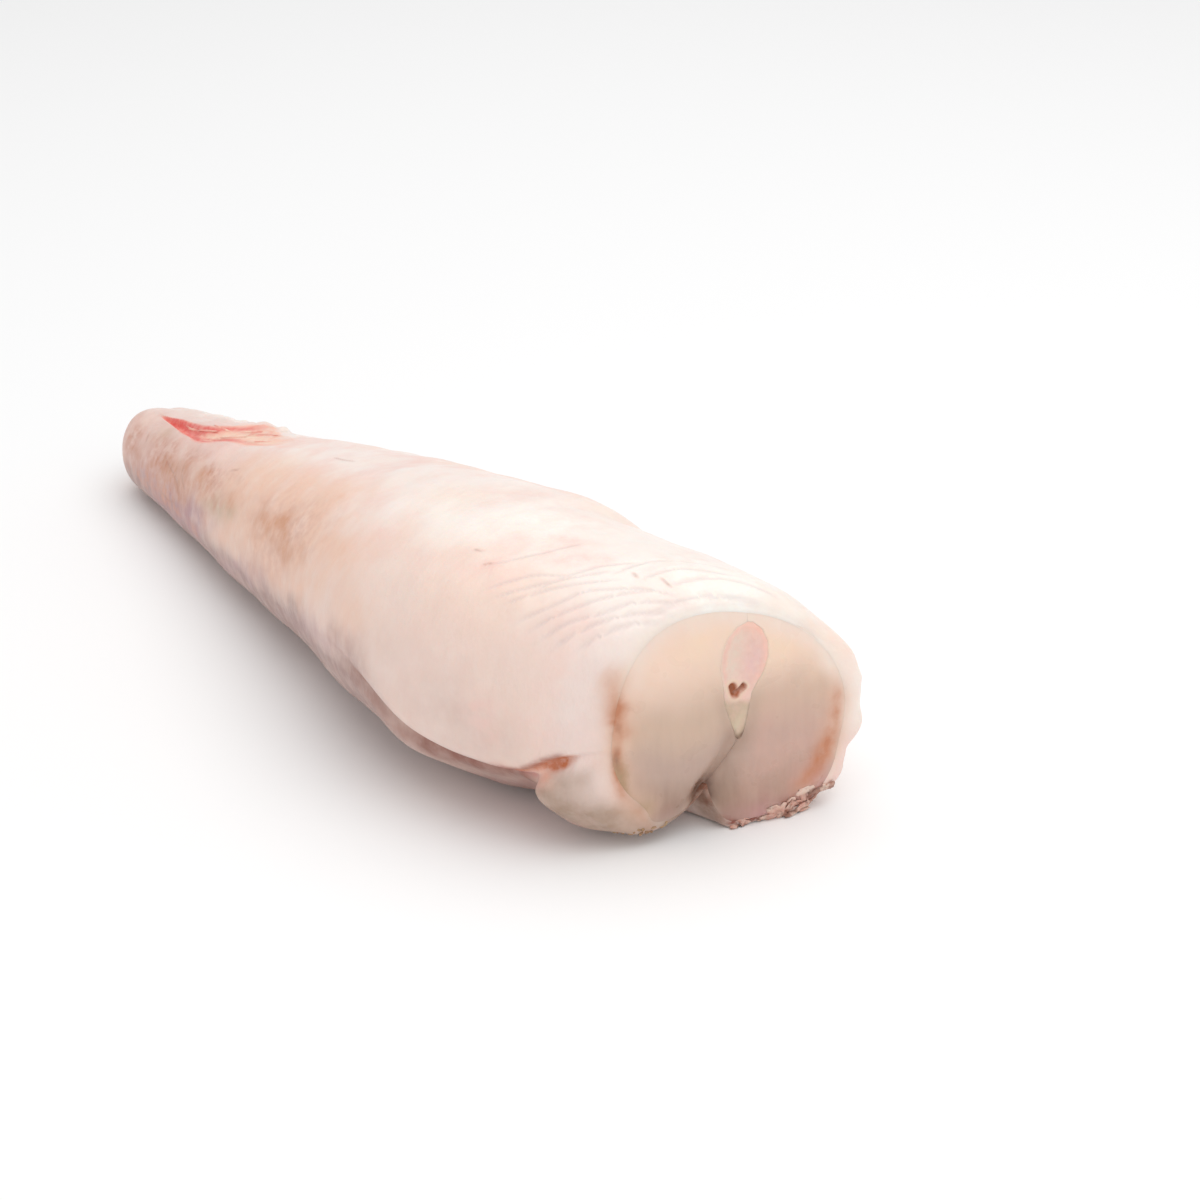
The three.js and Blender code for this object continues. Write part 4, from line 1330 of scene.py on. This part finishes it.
    def marks(self, skin: Surface) -> dict[str, Array]:
        """Where each colour of the finish lies.

        Args:
            skin: The whole surface.

        Returns:
            Values from 0 to 1 by the layers' names, and the lines' distances.
        """
        t, s, deg = self.tail, skin.s, skin.degrees
        cut = fading(s, -0.5, 9)
        below = t.below_crease(np.maximum(s, 0), deg)
        wob = Grain(41, 9)(skin.points)
        before_tip = fading(s, 294, 309)
        at_cut = bell(s, 5, 5)
        marks = {
            "flank": plateau(-deg, 38, 80, 118, 140) * smooth(s, -2, 14) + 0.5 * smooth(deg, 50, 90),
            "tail_end": smooth(s + 16 * wob, 200, 285) * (1 - 0.5 * bell(deg, 0, 30)),
            "underside": smooth(np.abs(deg), 122, 150) * smooth(s, 2, 20) * before_tip,
            # Painted shade along the lower left side.
            "low": plateau(-deg, 88 - 4 * wob, 107 - 4 * wob, 140, 165) * smooth(s, 55, 95) * before_tip,
            "blush": 0.8 * cut * plateau(deg, 88, 100, 120, 132),
            "rim": cut * (plateau(-deg, 50, 75, 128, 140) + 0.5 * smooth(deg, 60, 85)),
            "rim_inside": bell(np.hypot(skin.l, skin.m), t.inner_radius(0, deg), 2.4)
            * (s <= 0) * (s > BED) * mix(0.25, 1.0, smooth(skin.m, -18, 6)),
            "peach": smooth(s + 9 * wob, 100, 150) * fading(s, 205, 240) * plateau(-deg, 22, 48, 92, 112),
            "mottle": smooth(s + 12 * wob, 195, 240) * clamped(0.5 + 0.7 * wob) * before_tip
            * (plateau(-deg, 42, 60, 100, 115) + 0.4 * smooth(deg, 50, 80)),
            # Painted shade on the flap below the crease and on the lower left rim.
            "beige": plateau(below, 2.5, 9, 26, 36) * bell(s, 7, 13) * smooth(s, -9, -4)
            + 0.9 * cut * plateau(-deg, 126, 144, 164, 174),
            # The hem under the crease: its own mauve-brown, darkened further by painted shade under the
            # crease's overhang.
            "strip": plateau(s, 14, 24, 76, 112) * (1 - 0.35 * smooth(s, 52, 66)) * smooth(below, -0.4, 1.6)
            * (1 - 0.6 * smooth(below, 7, 18)) * plateau(-deg, 90, 98, 150, 165),
            "rust": plateau(below, -1.0, 0.2, 1 + 2 * at_cut, 2.4 + 3 * at_cut) * plateau(s, -0.5, 4, 17, 26),
            # A band of painted light on the right rim's shadowed side.
            "pale": 0.6 * cut * plateau(deg, 56, 74, 84, 98),
            # Painted shade: the line along the crease's fold, by its distance and where it is drawn.
            "fold_beside": np.abs(below + 0.6),
            "fold_drawn": plateau(s, 0.5, 3, 84, 120) * mix(1.0, 0.5, smooth(s, 16, 26)),
            **self.slit_marks(skin),
            **self.cut_marks(skin),
            **self.line_marks(skin, "crease", CREASES, 4.0),
            **self.line_marks(skin, "tick", TICKS, 0.8),
        }
        for name, spots in SKIN_MARKS.items():
            marks[name] = marks.get(name, 0.0) + skin.on_skin(*spots)
        return {key: values if key.endswith("_beside") else clamped(values) for key, values in marks.items()}

    def slit_marks(self, skin: Surface) -> dict[str, Array]:
        """The slit's colours: coral along both edges and at its point, salmon and cream between them."""
        s, grain = skin.s, Grain(43, 6)(skin.points)
        q = self.tail.in_slit(s, skin.degrees) + 0.05 * grain
        inside = plateau(q, -0.04, 0.12, 0.95, 1.12) * fading(s, 288, 292)
        low = bell(q, 0.2, 0.26) * smooth(s, 230, 246) + 0.35 * bell(q, 0.25, 0.14) * smooth(s, 210, 234)
        high = 0.8 * bell(q, 0.86, 0.12) * smooth(s, 236, 247)
        point = smooth(s, 250, 268)
        return {
            "salmon": inside * smooth(s + 8 * grain, 196, 232),
            "coral": inside * clamped(low + high + point),
            "cream_streak": inside * bell(q, 0.52, 0.17) * plateau(s, 205, 228, 256, 268),
        }

    def cut_marks(self, skin: Surface) -> dict[str, Array]:
        """The stains on the rim of the cut and its torn lower right edge, and painted shade in the notch, on
        the bed where it shows through and on the rim beside the notch.
        """
        s, from_back = skin.s, np.abs(skin.degrees)
        left, left_on = skin.beside(LEFT_STAIN, 5.0, True)
        right, right_on = skin.beside(RIGHT_STAIN, 5.0, True)
        cut = fading(s, -1, 1)
        torn = plateau(skin.degrees, 114, 126, 158, 172) * (s > BED)
        notch_shade = smooth(s, -16, -12) * bell(s, -2, 7) * clamped(1.5 * bell(from_back, 180, 10))
        return {
            "stain": cut * (left_stain(skin, left) + 0.6 * bell(right, 0, 3.2) * right_on),
            "halo": cut * (0.8 * bell(left, 0, 4.5) * left_on + 0.7 * bell(right, 0, 7) * right_on),
            # Painted shade: a dark spot in the hollow beside the left stain, the notch, and the bed where it
            # shows through.
            "deep": cut * skin.on_face((0.3, -31.5, -12, 1.2, 3.8, 20)) + notch_shade
            + (s < BED) * smooth(from_back, 150, 165),
            "edge_shade": plateau(s, -9, -5, 3, 12) * smooth(from_back, 158, 168),
            "gore": torn * bell(s, -2, 6) * clamped(0.75 + 0.8 * Grain(44, 3.2)(skin.points)),
        }

    def line_marks(
        self, skin: Surface, name: str, lines: Sequence[Sequence[Place]], ends: float
    ) -> dict[str, Array]:
        """A family of fine lines: the distance beside the nearest one, and where it is drawn."""
        best = np.full(skin.s.shape, 9.0)
        drawn = np.zeros(skin.s.shape)
        for line in lines:
            beside, on = skin.beside(line, ends)
            away = np.abs(beside)
            drawn = np.where(away < best, on, drawn)
            best = np.minimum(best, away)
        return {name + "_beside": best, name + "_drawn": drawn}

    def build(self) -> bpy.types.Object:
        skin, end = self.surface()
        tip = self.tail.place(self.tail.length, 0, 0)
        points = np.concatenate([[tip], skin.points.reshape(-1, 3), [end]])
        marks = {
            key: np.concatenate([[values[0].mean()], values.ravel(), [values[-1].mean()]])
            for key, values in self.marks(skin).items()
        }
        piece = piece_from("membrane", points, loft_faces(*skin.s.shape), marks, MembraneFinish().material())
        TornEdges().build(skin, Loin(Side.RIGHT).face())
        return ridden(piece, "membrane", "outer_membrane")


def left_stain(surface: Surface, beside: Array) -> Array:
    """The stain on the left: broad and soft above, with a paler bridge over a narrow darker part below."""
    above = surface.on_face((0.7, -34.0, 0.5, 3.4, 9, 15), (0.3, -32.7, -4, 1.8, 5, 14))
    below = surface.on_face((1.3, -30.4, -14, 1.7, 5.5, 20), (0.6, -27.4, -21.5, 1.6, 4.5, 32))
    tail = 0.25 * bell(beside, 0, 1.4) * smooth(-surface.m, 20, 25)
    return above * smooth(surface.m, -9.5, -5.5) + below + tail


# ------------------------------------------------------------------ the backbone's outline


@dataclass(frozen=True)
class BoneOutline:
    """The outline of the backbone and the wedge below it, as it shows in the cut."""

    levels: tuple[float, ...] = (-4.8, -3, 2, 6.5, 9.4, 12.5, 16, 20.5, 25, 28.3, 29.9)
    half_width: tuple[float, ...] = (0.5, 1.3, 2.9, 4, 4.3, 5.4, 6.8, 7.4, 6.5, 4.2, 1.3)
    centre: tuple[float, ...] = (4.4, 3.9, 2, 0.6, 0.1, -0.1, 0, 0.1, 0.2, 0.3, 0.3)
    middle: Place = (0.2, 16.0)

    def ring(self, count: int) -> Array:
        """The smoothed outline.

        Args:
            count: How many points it has.

        Returns:
            Points in the section's axes, evenly apart.
        """
        right = [(c + w, m) for c, w, m in zip(self.centre, self.half_width, self.levels)]
        left = [(c - w, m) for c, w, m in zip(self.centre, self.half_width, self.levels)]
        corners = np.array(right + left[::-1])
        closed = np.concatenate([corners[-3:], corners, corners[:4]])
        knots = np.concatenate([[0], np.cumsum(np.hypot(*np.diff(closed, axis=0).T))])
        fine = np.linspace(knots[3], knots[-4], count * 4, endpoint=False)
        both = [Curve(tuple(knots), tuple(closed[:, k]))(fine) for k in (0, 1)]
        loop = np.stack(both, -1)
        for _ in range(10):
            loop = (np.roll(loop, 1, 0) + 2 * loop + np.roll(loop, -1, 0)) / 4
        return loop[::4]

    def inside(self, l: Array, m: Array) -> Array:
        """How far inside the outline points lie: positive inside, in millimetres across."""
        levels = np.array(self.levels)
        centre = np.interp(m, levels, self.centre)
        half = np.interp(m, levels, self.half_width)
        above = np.minimum(m - levels[0] + 0.4, levels[-1] - m + 0.4)
        return np.minimum(half - np.abs(l - centre), above)


BONE = BoneOutline()


# ------------------------------------------------------------------ the loins


# The soft marks on the cut face, for each layer of the flesh's finish.
FACE_MARKS: dict[str, tuple[Spot, ...]] = {
    "mauve": ((1, 32, -17, 6, 8, 10), (0.7, 25, -28, 10, 5), (0.5, 14, -31, 6, 4), (0.25, -14, -30, 10, 5)),
    "gore": ((0.9, 28.3, -25, 3, 2.2, -25),),
    "stain": ((0.5, -36.5, 2, 3, 5), (0.45, 32, -9, 4, 8)),
    "olive": ((1, -28.2, -19, 2.2, 6, 25), (0.8, -20, -29, 5, 3.5, 60)),
    # Painted shade in the hollow beside the left stain and in the recess at the torn lower right edge.
    "deep": (
        (0.5, -30.9, -12.8, 0.9, 3.2, 20), (0.2, -32.8, -3.5, 1, 2.4, 16), (0.7, 26, -24.6, 2.6, 1.5, -22),
    ),
}

# What the faces of the loins and the backbone have for s, which their marks don't read.
ON_CUT_FACE = -5.0


class Side(Enum):
    """Which side of the seam a loin lies on."""

    LEFT = -1
    RIGHT = 1


@dataclass
class Loin:
    """One loin: its rounded cut face, and its body that runs on inside the outer layer.

    Attributes:
        side: Which loin it is.
        levels: Points from the belly to the back, less one.
        across: Points from the seam to the outer edge.
        tuck: How far the face's edge lies inside the rim, in millimetres.
        bone_dip: How far the face lies back where the backbone covers it.
        rows: Where the rings of its body lie along the tail.
        tail: The tail's form.
    """

    side: Side
    levels: int = 190
    across: int = 84
    tuck: float = 0.45
    bone_dip: float = 1.3
    rows: tuple[float, ...] = (5.5, 8.5, 14, 22, 36, 60, 100, 140, 180, 220, 250, 264, 272, 275.5)
    tail: TailForm = TAIL

    def edge_angles(self) -> Array:
        """The angles of the points on the loin's outer edge, from the belly to the back."""
        t = (np.arange(self.levels + 1) / self.levels)[1:-1]
        return self.side.value * (180 - 180 * t)

    def seam_and_edge(self, s: float, larger: float) -> tuple[Array, Array]:
        """The two sides of the loin's section at s.

        Args:
            s: Where the section is.
            larger: How far its outer edge lies outside the outer layer's inner face.

        Returns:
            Points along the seam and along the outer edge, from the belly to the back.
        """
        degrees = self.edge_angles()
        radius = self.tail.inner_radius(s, degrees) + larger
        angle = np.radians(degrees)
        edge = np.stack([radius * np.sin(angle), radius * np.cos(angle)], -1)
        low, high = edge[0, 1], edge[-1, 1]
        t = np.linspace(0, 1, len(degrees))
        m = mix(low, high, mix(t, (1 - np.cos(np.pi * t)) / 2, 0.5))
        seam = np.stack([self.tail.seam(s, m) + 0.06 * self.side.value, m], -1)
        return seam, edge

    def face(self) -> Surface:
        """The cut face as a grid from the seam to the outer edge, with its relief."""
        seam, edge = self.seam_and_edge(0.0, self.tuck)
        across = 1 - (1 - np.linspace(0, 1, self.across)) ** 1.15
        grid = mix(seam[:, None, :], edge[:, None, :], across[None, :, None])
        l, m = grid[..., 0], grid[..., 1]
        degrees = np.degrees(np.arctan2(l, m))
        forward = self.tail.face_forward(l, m)
        forward = forward - self.bone_dip * smooth(BONE.inside(l, m), 0.1, 1.2)
        flat = self.tail.place(0.0, l, m, forward)
        lumps = 0.22 * Grain(21, 14)(flat) + 0.07 * Grain(22, 5)(flat)
        lumps = lumps * fading(np.hypot(l, m) / self.tail.inner_radius(0, degrees), 0.9, 1.0)
        pinch = 1.8 * bell(np.hypot(l + 0.2, (m + 22.5) * 0.8), 0, 3.4)
        points = self.tail.place(0.0, l, m, forward + lumps - pinch, self.tail.wall_on_floor + 0.2)
        return Surface(np.full(l.shape, ON_CUT_FACE), degrees, l, m, points)

    def marks(self, face: Surface) -> dict[str, Array]:
        """Where each colour of the finish lies on the cut face."""
        l, m, deg = face.l, face.m, face.degrees
        share = np.hypot(l, m) / self.tail.inner_radius(0, deg)
        wob = Grain(51, 6)(face.points)
        left, left_on = face.beside(LEFT_STAIN, 5.0, True)
        right, right_on = face.beside(RIGHT_STAIN, 5.0, True)
        seam = l - self.tail.seam(0, m)
        below_bone = smooth(-m, -2, 6)
        marks = {
            "warm": smooth(m, 4, 26) * fading(share, 0.85, 1.0) * (0.7 + 0.3 * wob),
            "edge": smooth(share + 0.03 * wob, 0.8, 0.99) * mix(0.25, 1.0, smooth(m, -18, 6)),
            # Painted shade in the valley between the loins and round the bone's foot.
            "valley": below_bone * bell(seam, -1.0, 4.2)
            + 0.3 * bell(BONE.inside(l, m), -1.4, 2.2) * smooth(-m, -16, 0),
            "shaded": smooth(-m, 20, 32) * plateau(l, 2, 10, 20, 30),
            "halo": bell(left, 0, 5.5) * left_on + 0.5 * bell(right, 0, 5) * right_on,
            "gore": plateau(deg, 116, 124, 160, 168) * smooth(share, 0.9, 1.0),
            "stain": left_stain(face, left) * left_on + 0.7 * bell(right, 0, 3.0) * right_on,
            "rosy": smooth(l, 4, 12) * smooth(-m, -24, 4),
            # Painted shade in the notch between the lobes and along the seam below the bone.
            "notch": clamped(face.on_face((1.6, -0.4, -22.5, 3.2, 3.8)))
            + 0.3 * bell(seam, -0.2, 1.3) * below_bone * smooth(-m, 2, 16),
        }
        for name, spots in FACE_MARKS.items():
            marks[name] = marks.get(name, 0.0) + face.on_face(*spots)
        return marks

    def body_ring(self, s: float) -> Array:
        """The loin's outline in the section at s: belly corner, outer edge, back corner and seam."""
        seam, edge = self.seam_and_edge(s, -self.tail.gap)
        low, high = (seam[0] + edge[0]) / 2, (seam[-1] + edge[-1]) / 2
        loop = np.concatenate([[low], edge, [high], seam[::-1]])
        return self.tail.place(s, loop[:, 0], loop[:, 1], 0.0, self.tail.wall_on_floor + self.tail.gap)

    def build(self, flesh: bpy.types.Material) -> bpy.types.Object:
        """Args:
            flesh: The finish that both loins have.

        Returns:
            The object.
        """
        face = self.face()
        n, across = face.l.shape
        corners = (face.points[0].mean(0), face.points[-1].mean(0))
        rings = [self.body_ring(s) for s in self.rows]
        around = 2 * n + 2
        points = np.concatenate([face.points.reshape(-1, 3), corners, *rings, [rings[-1].mean(0)]])
        low, high = n * across, n * across + 1
        grid = np.arange(n * across).reshape(n, across)
        quads = np.stack([grid[:-1, :-1], grid[:-1, 1:], grid[1:, 1:], grid[1:, :-1]], -1)
        faces = [tuple(quad) for quad in quads.reshape(-1, 4).tolist()]
        for j in range(across - 1):
            faces.append((low, int(grid[0, j + 1]), int(grid[0, j])))
            faces.append((high, int(grid[-1, j]), int(grid[-1, j + 1])))
        border = [low, *grid[:, -1].tolist(), high, *grid[::-1, 0].tolist()]
        for row in range(len(rings)):
            here = [high + 1 + row * around + k for k in range(around)]
            for k in range(around):
                j = (k + 1) % around
                faces.append((border[k], here[k], here[j], border[j]))
            border = here
        last = len(points) - 1
        faces += [(border[k], last, border[(k + 1) % around]) for k in range(around)]
        marks = {}
        for key, values in self.marks(face).items():
            rest = np.zeros(len(points) - n * across)
            rest[:2] = values[0].mean(), values[-1].mean()
            marks[key] = np.concatenate([clamped(values).ravel(), rest])
        name = "loin_" + self.side.name.lower()
        return ridden(piece_from(name + "_flesh", points, faces, marks, flesh), "flesh", name)


# ------------------------------------------------------------------ the backbone


@dataclass
class Backbone:
    """The backbone: its oval cut with the canal, the wedge below it, and its body inside the tail.

    Attributes:
        around: Points round it.
        shares: Rings on its cut face.
        rows: Where the rings of its body lie along the tail.
        end: Where it ends.
        end_scale: How large its last ring is beside the section's scale.
        canal_foot: Where the canal's two arms meet, in the section's axes.
        canal_arms: Where they end.
        canal_widths: Half their widths, in millimetres.
        tail: The tail's form.
    """

    around: int = 168
    shares: int = 40
    rows: tuple[float, ...] = (0, 2.5, 6, 14, 30, 60, 100, 150, 200, 235, 252, 260)
    end: float = 262
    end_scale: float = 0.9
    canal_foot: Place = (-0.9, 9.0)
    canal_arms: tuple[Place, Place] = ((-2.1, 11.0), (1.3, 11.4))
    canal_widths: tuple[float, float] = (1.35, 0.95)
    tail: TailForm = TAIL

    def face(self) -> Surface:
        """The cut face as rings from the middle out, with its rounded edge last."""
        loop = BONE.ring(self.around)
        share = np.linspace(0.04, 1, self.shares) ** 0.9
        middle = np.array(BONE.middle)
        grid = middle + share[:, None, None] * (loop - middle)
        l, m = grid[..., 0], grid[..., 1]
        base = self.tail.face_forward(l, m) + 0.3 * self.tail.valley(l, m)
        inside = np.maximum(BONE.inside(l, m), 0.0)
        rounded = 0.16 - 0.3 * np.exp(-inside / 0.5)
        ring = 0.22 * bell(inside, 1.5, 0.8) * smooth(m, 10, 15)
        hollow = -0.35 * bell(np.hypot((l - 0.5) / 1.0, (m - 18) / 1.6), 0, 3.2)
        holes = 1.2 * fading(self.canal_span(l, m), 0.2, 1.1)
        flat = self.tail.place(0.0, l, m, base)
        grain = 0.12 * Grain(61, 2.4)(flat) * smooth(inside, 0.3, 1.5)
        points = self.tail.place(0.0, l, m, base + rounded + ring + hollow + grain - holes)
        return Surface(np.full(l.shape, ON_CUT_FACE), np.degrees(np.arctan2(l, m)), l, m, points)

    def canal_span(self, l: Array, m: Array) -> Array:
        """How many half-widths the points lie from the canal's two arms, which meet at its foot."""
        x, y = self.canal_foot
        spans = []
        for (end_x, end_y), half_width in zip(self.canal_arms, self.canal_widths):
            dx, dy = end_x - x, end_y - y
            along = clamped(((l - x) * dx + (m - y) * dy) / (dx * dx + dy * dy))
            spans.append(np.hypot(l - x - along * dx, m - y - along * dy) / half_width)
        return np.minimum(*spans)

    def marks(self, face: Surface) -> dict[str, Array]:
        """Where each colour of the finish lies on the cut face."""
        l, m = face.l, face.m
        inside = np.maximum(BONE.inside(l, m), 0.0)
        oval = smooth(m, 8.5, 12)
        canal = self.canal_span(l, m)
        wedge = fading(m, 5.5, 8.5)
        return {
            "ashen": oval * smooth(-l, -2.5, 4) * smooth(inside, 0.6, 2),
            "lilac": face.on_face((1, 2.6, 19, 3, 5)),
            "ring": oval * bell(inside, 0.9, 1.2) * clamped(0.35 + 0.65 * smooth(l + 0.4 * (m - 18), 0, 7))
            + face.on_face((0.6, 0, 28.5, 4, 1.6)),
            "ivory": wedge,
            "glassy": wedge * face.on_face((1, 2.2, 0, 1.6, 4.5, -14)),
            "halo": plateau(canal, 0.8, 1.2, 1.2, 2.2),
            "fade": oval * fading(inside, 0.1, 0.9) * smooth(-l, -3, 3)
            + 0.7 * wedge * fading(inside, 0.1, 1.3) * smooth(2.5 - l, -1, 2),
            "canal": fading(canal, 0.45, 1.45),
            # Painted shade deep in the canal, at the wedge's tip and along its right edge.
            "deep": face.on_face((0.8, 4.6, -3.7, 0.9, 1.5, -25))
            + 0.35 * wedge * bell(inside, 0.1, 0.5) * smooth(l - 2, -1, 1.5) + 0.25 * fading(canal, 0.1, 0.6),
        }

    def build(self) -> bpy.types.Object:
        face = self.face()
        loop = BONE.ring(self.around)
        rings = [face.points]
        for s in (*self.rows, self.end):
            section = float(self.tail.scale(s))
            scale = section * (self.end_scale if s == self.end else 1.0)
            forward = self.tail.face_forward(loop[:, 0], loop[:, 1]) - 1.2 if s == 0 else 0.0
            outline = np.array(BONE.middle) * section + (loop - np.array(BONE.middle)) * scale
            rings.append(self.tail.place(s, outline[:, 0], outline[:, 1], forward)[None])
        points = np.concatenate(rings)
        poles = (points[0].mean(0), points[-1].mean(0))
        stacked = np.concatenate([[poles[0]], points.reshape(-1, 3), [poles[1]]])
        marks = {}
        for key, values in self.marks(face).items():
            rest = np.zeros(len(stacked) - 1 - values.size)
            marks[key] = np.concatenate([[values[0].mean()], clamped(values).ravel(), rest])
        faces = loft_faces(len(points), self.around)
        piece = piece_from("backbone_cartilage", stacked, faces, marks, BoneFinish().material())
        return ridden(piece, "bone", "backbone")


# ------------------------------------------------------------------ the studio


def towards(azimuth: float, elevation: float) -> Vector:
    """The direction from the object to a place at an azimuth and an elevation, in degrees."""
    a, e = math.radians(azimuth), math.radians(elevation)
    return Vector((math.sin(a) * math.cos(e), -math.cos(a) * math.cos(e), math.sin(e)))


def aimed(thing: bpy.types.Object, place: Vector, back: Vector) -> bpy.types.Object:
    """Puts a camera or a lamp in its place, looking against the direction back."""
    thing.location = place
    thing.rotation_mode = "QUATERNION"
    thing.rotation_quaternion = (-back).to_track_quat("-Z", "Y")
    return linked(thing)


@dataclass
class Studio:
    """A plain pale floor, plain soft light and the camera at the photograph's angle.

    Attributes:
        azimuth: The camera's azimuth, in degrees.
        elevation: Its elevation.
        distance: How far it is from what it is aimed at, in metres.
        aim: What it is aimed at, in millimetres in the tail's frame.
        lens: Its focal length, in millimetres.
        sky: The strength of the light from all round.
        lamps: Each lamp's name, azimuth, elevation, size in metres and power in watts.
        lamp_distance: How far the lamps are away, in metres.
        floor_reach: Half the floor's width, in metres.
        floor_level: The floor's height, in metres.
    """

    azimuth: float = -40.23
    elevation: float = 27.6
    distance: float = 0.8783
    aim: Triple = (27.0, 85.29, 30.0)
    lens: float = 85.0
    sky: float = 0.62
    lamps: tuple[tuple[str, float, float, float, float], ...] = (
        ("overhead", 60, 83, 2.0, 9.5),
        ("in_front", 2, 48, 1.2, 2.6),
    )
    lamp_distance: float = 1.3
    floor_reach: float = 6.0
    floor_level: float = -0.0004

    def camera(self) -> None:
        """Makes the camera."""
        camera = bpy.data.objects.new("camera", bpy.data.cameras.new("camera"))
        camera.data.lens = self.lens
        camera.data.sensor_width = 36
        back = towards(self.azimuth, self.elevation)
        aimed(camera, Vector((np.array(self.aim) + ORIGIN) * MM) + back * self.distance, back)
        bpy.context.scene.camera = camera

    def floor(self) -> None:
        """Makes the pale floor."""
        mesh = bpy.data.meshes.new("floor")
        corners = ((-1, -1), (1, -1), (1, 1), (-1, 1))
        places = [(self.floor_reach * x, self.floor_reach * y, self.floor_level) for x, y in corners]
        mesh.from_pydata(places, [], [(0, 1, 2, 3)])
        floor = linked(bpy.data.objects.new("floor", mesh))
        tree = ShaderTree("pale_floor")
        shader = tree.add("ShaderNodeBsdfPrincipled", Base_Color=tint((250, 250, 250)), Roughness=0.9)
        shader.inputs["Specular IOR Level"].default_value = 0.0
        tree.add("ShaderNodeOutputMaterial", Surface=shader.outputs[0])
        mesh.materials.append(tree.material)

    def lamp(self, name: str, azimuth: float, elevation: float, size: float, watts: float) -> None:
        """Makes one large soft lamp that looks at the frame's origin."""
        light = bpy.data.lights.new(name, "AREA")
        light.shape = "DISK"
        light.size = size
        light.energy = watts
        away = towards(azimuth, elevation)
        aimed(bpy.data.objects.new(name, light), away * self.lamp_distance, away)

    def build(self) -> None:
        """Makes the whole studio."""
        world = bpy.data.worlds.new("soft_sky")
        world.use_nodes = True
        background = world.node_tree.nodes["Background"]
        background.inputs[0].default_value = (1, 1, 1, 1)
        background.inputs[1].default_value = self.sky
        bpy.context.scene.world = world
        bpy.context.scene.view_settings.view_transform = "Standard"
        self.camera()
        self.floor()
        for lamp in self.lamps:
            self.lamp(*lamp)
        LOG.info("studio ready")


def main() -> None:
    """Builds the tail's pieces in order, and then the studio."""
    logging.basicConfig(level=logging.INFO, format="%(name)s %(message)s")
    flesh = FleshFinish().material()
    OuterMembrane().build()
    Loin(Side.LEFT).build(flesh)
    Loin(Side.RIGHT).build(flesh)
    Backbone().build()
    Studio().build()


if __name__ == "__main__":
    main()
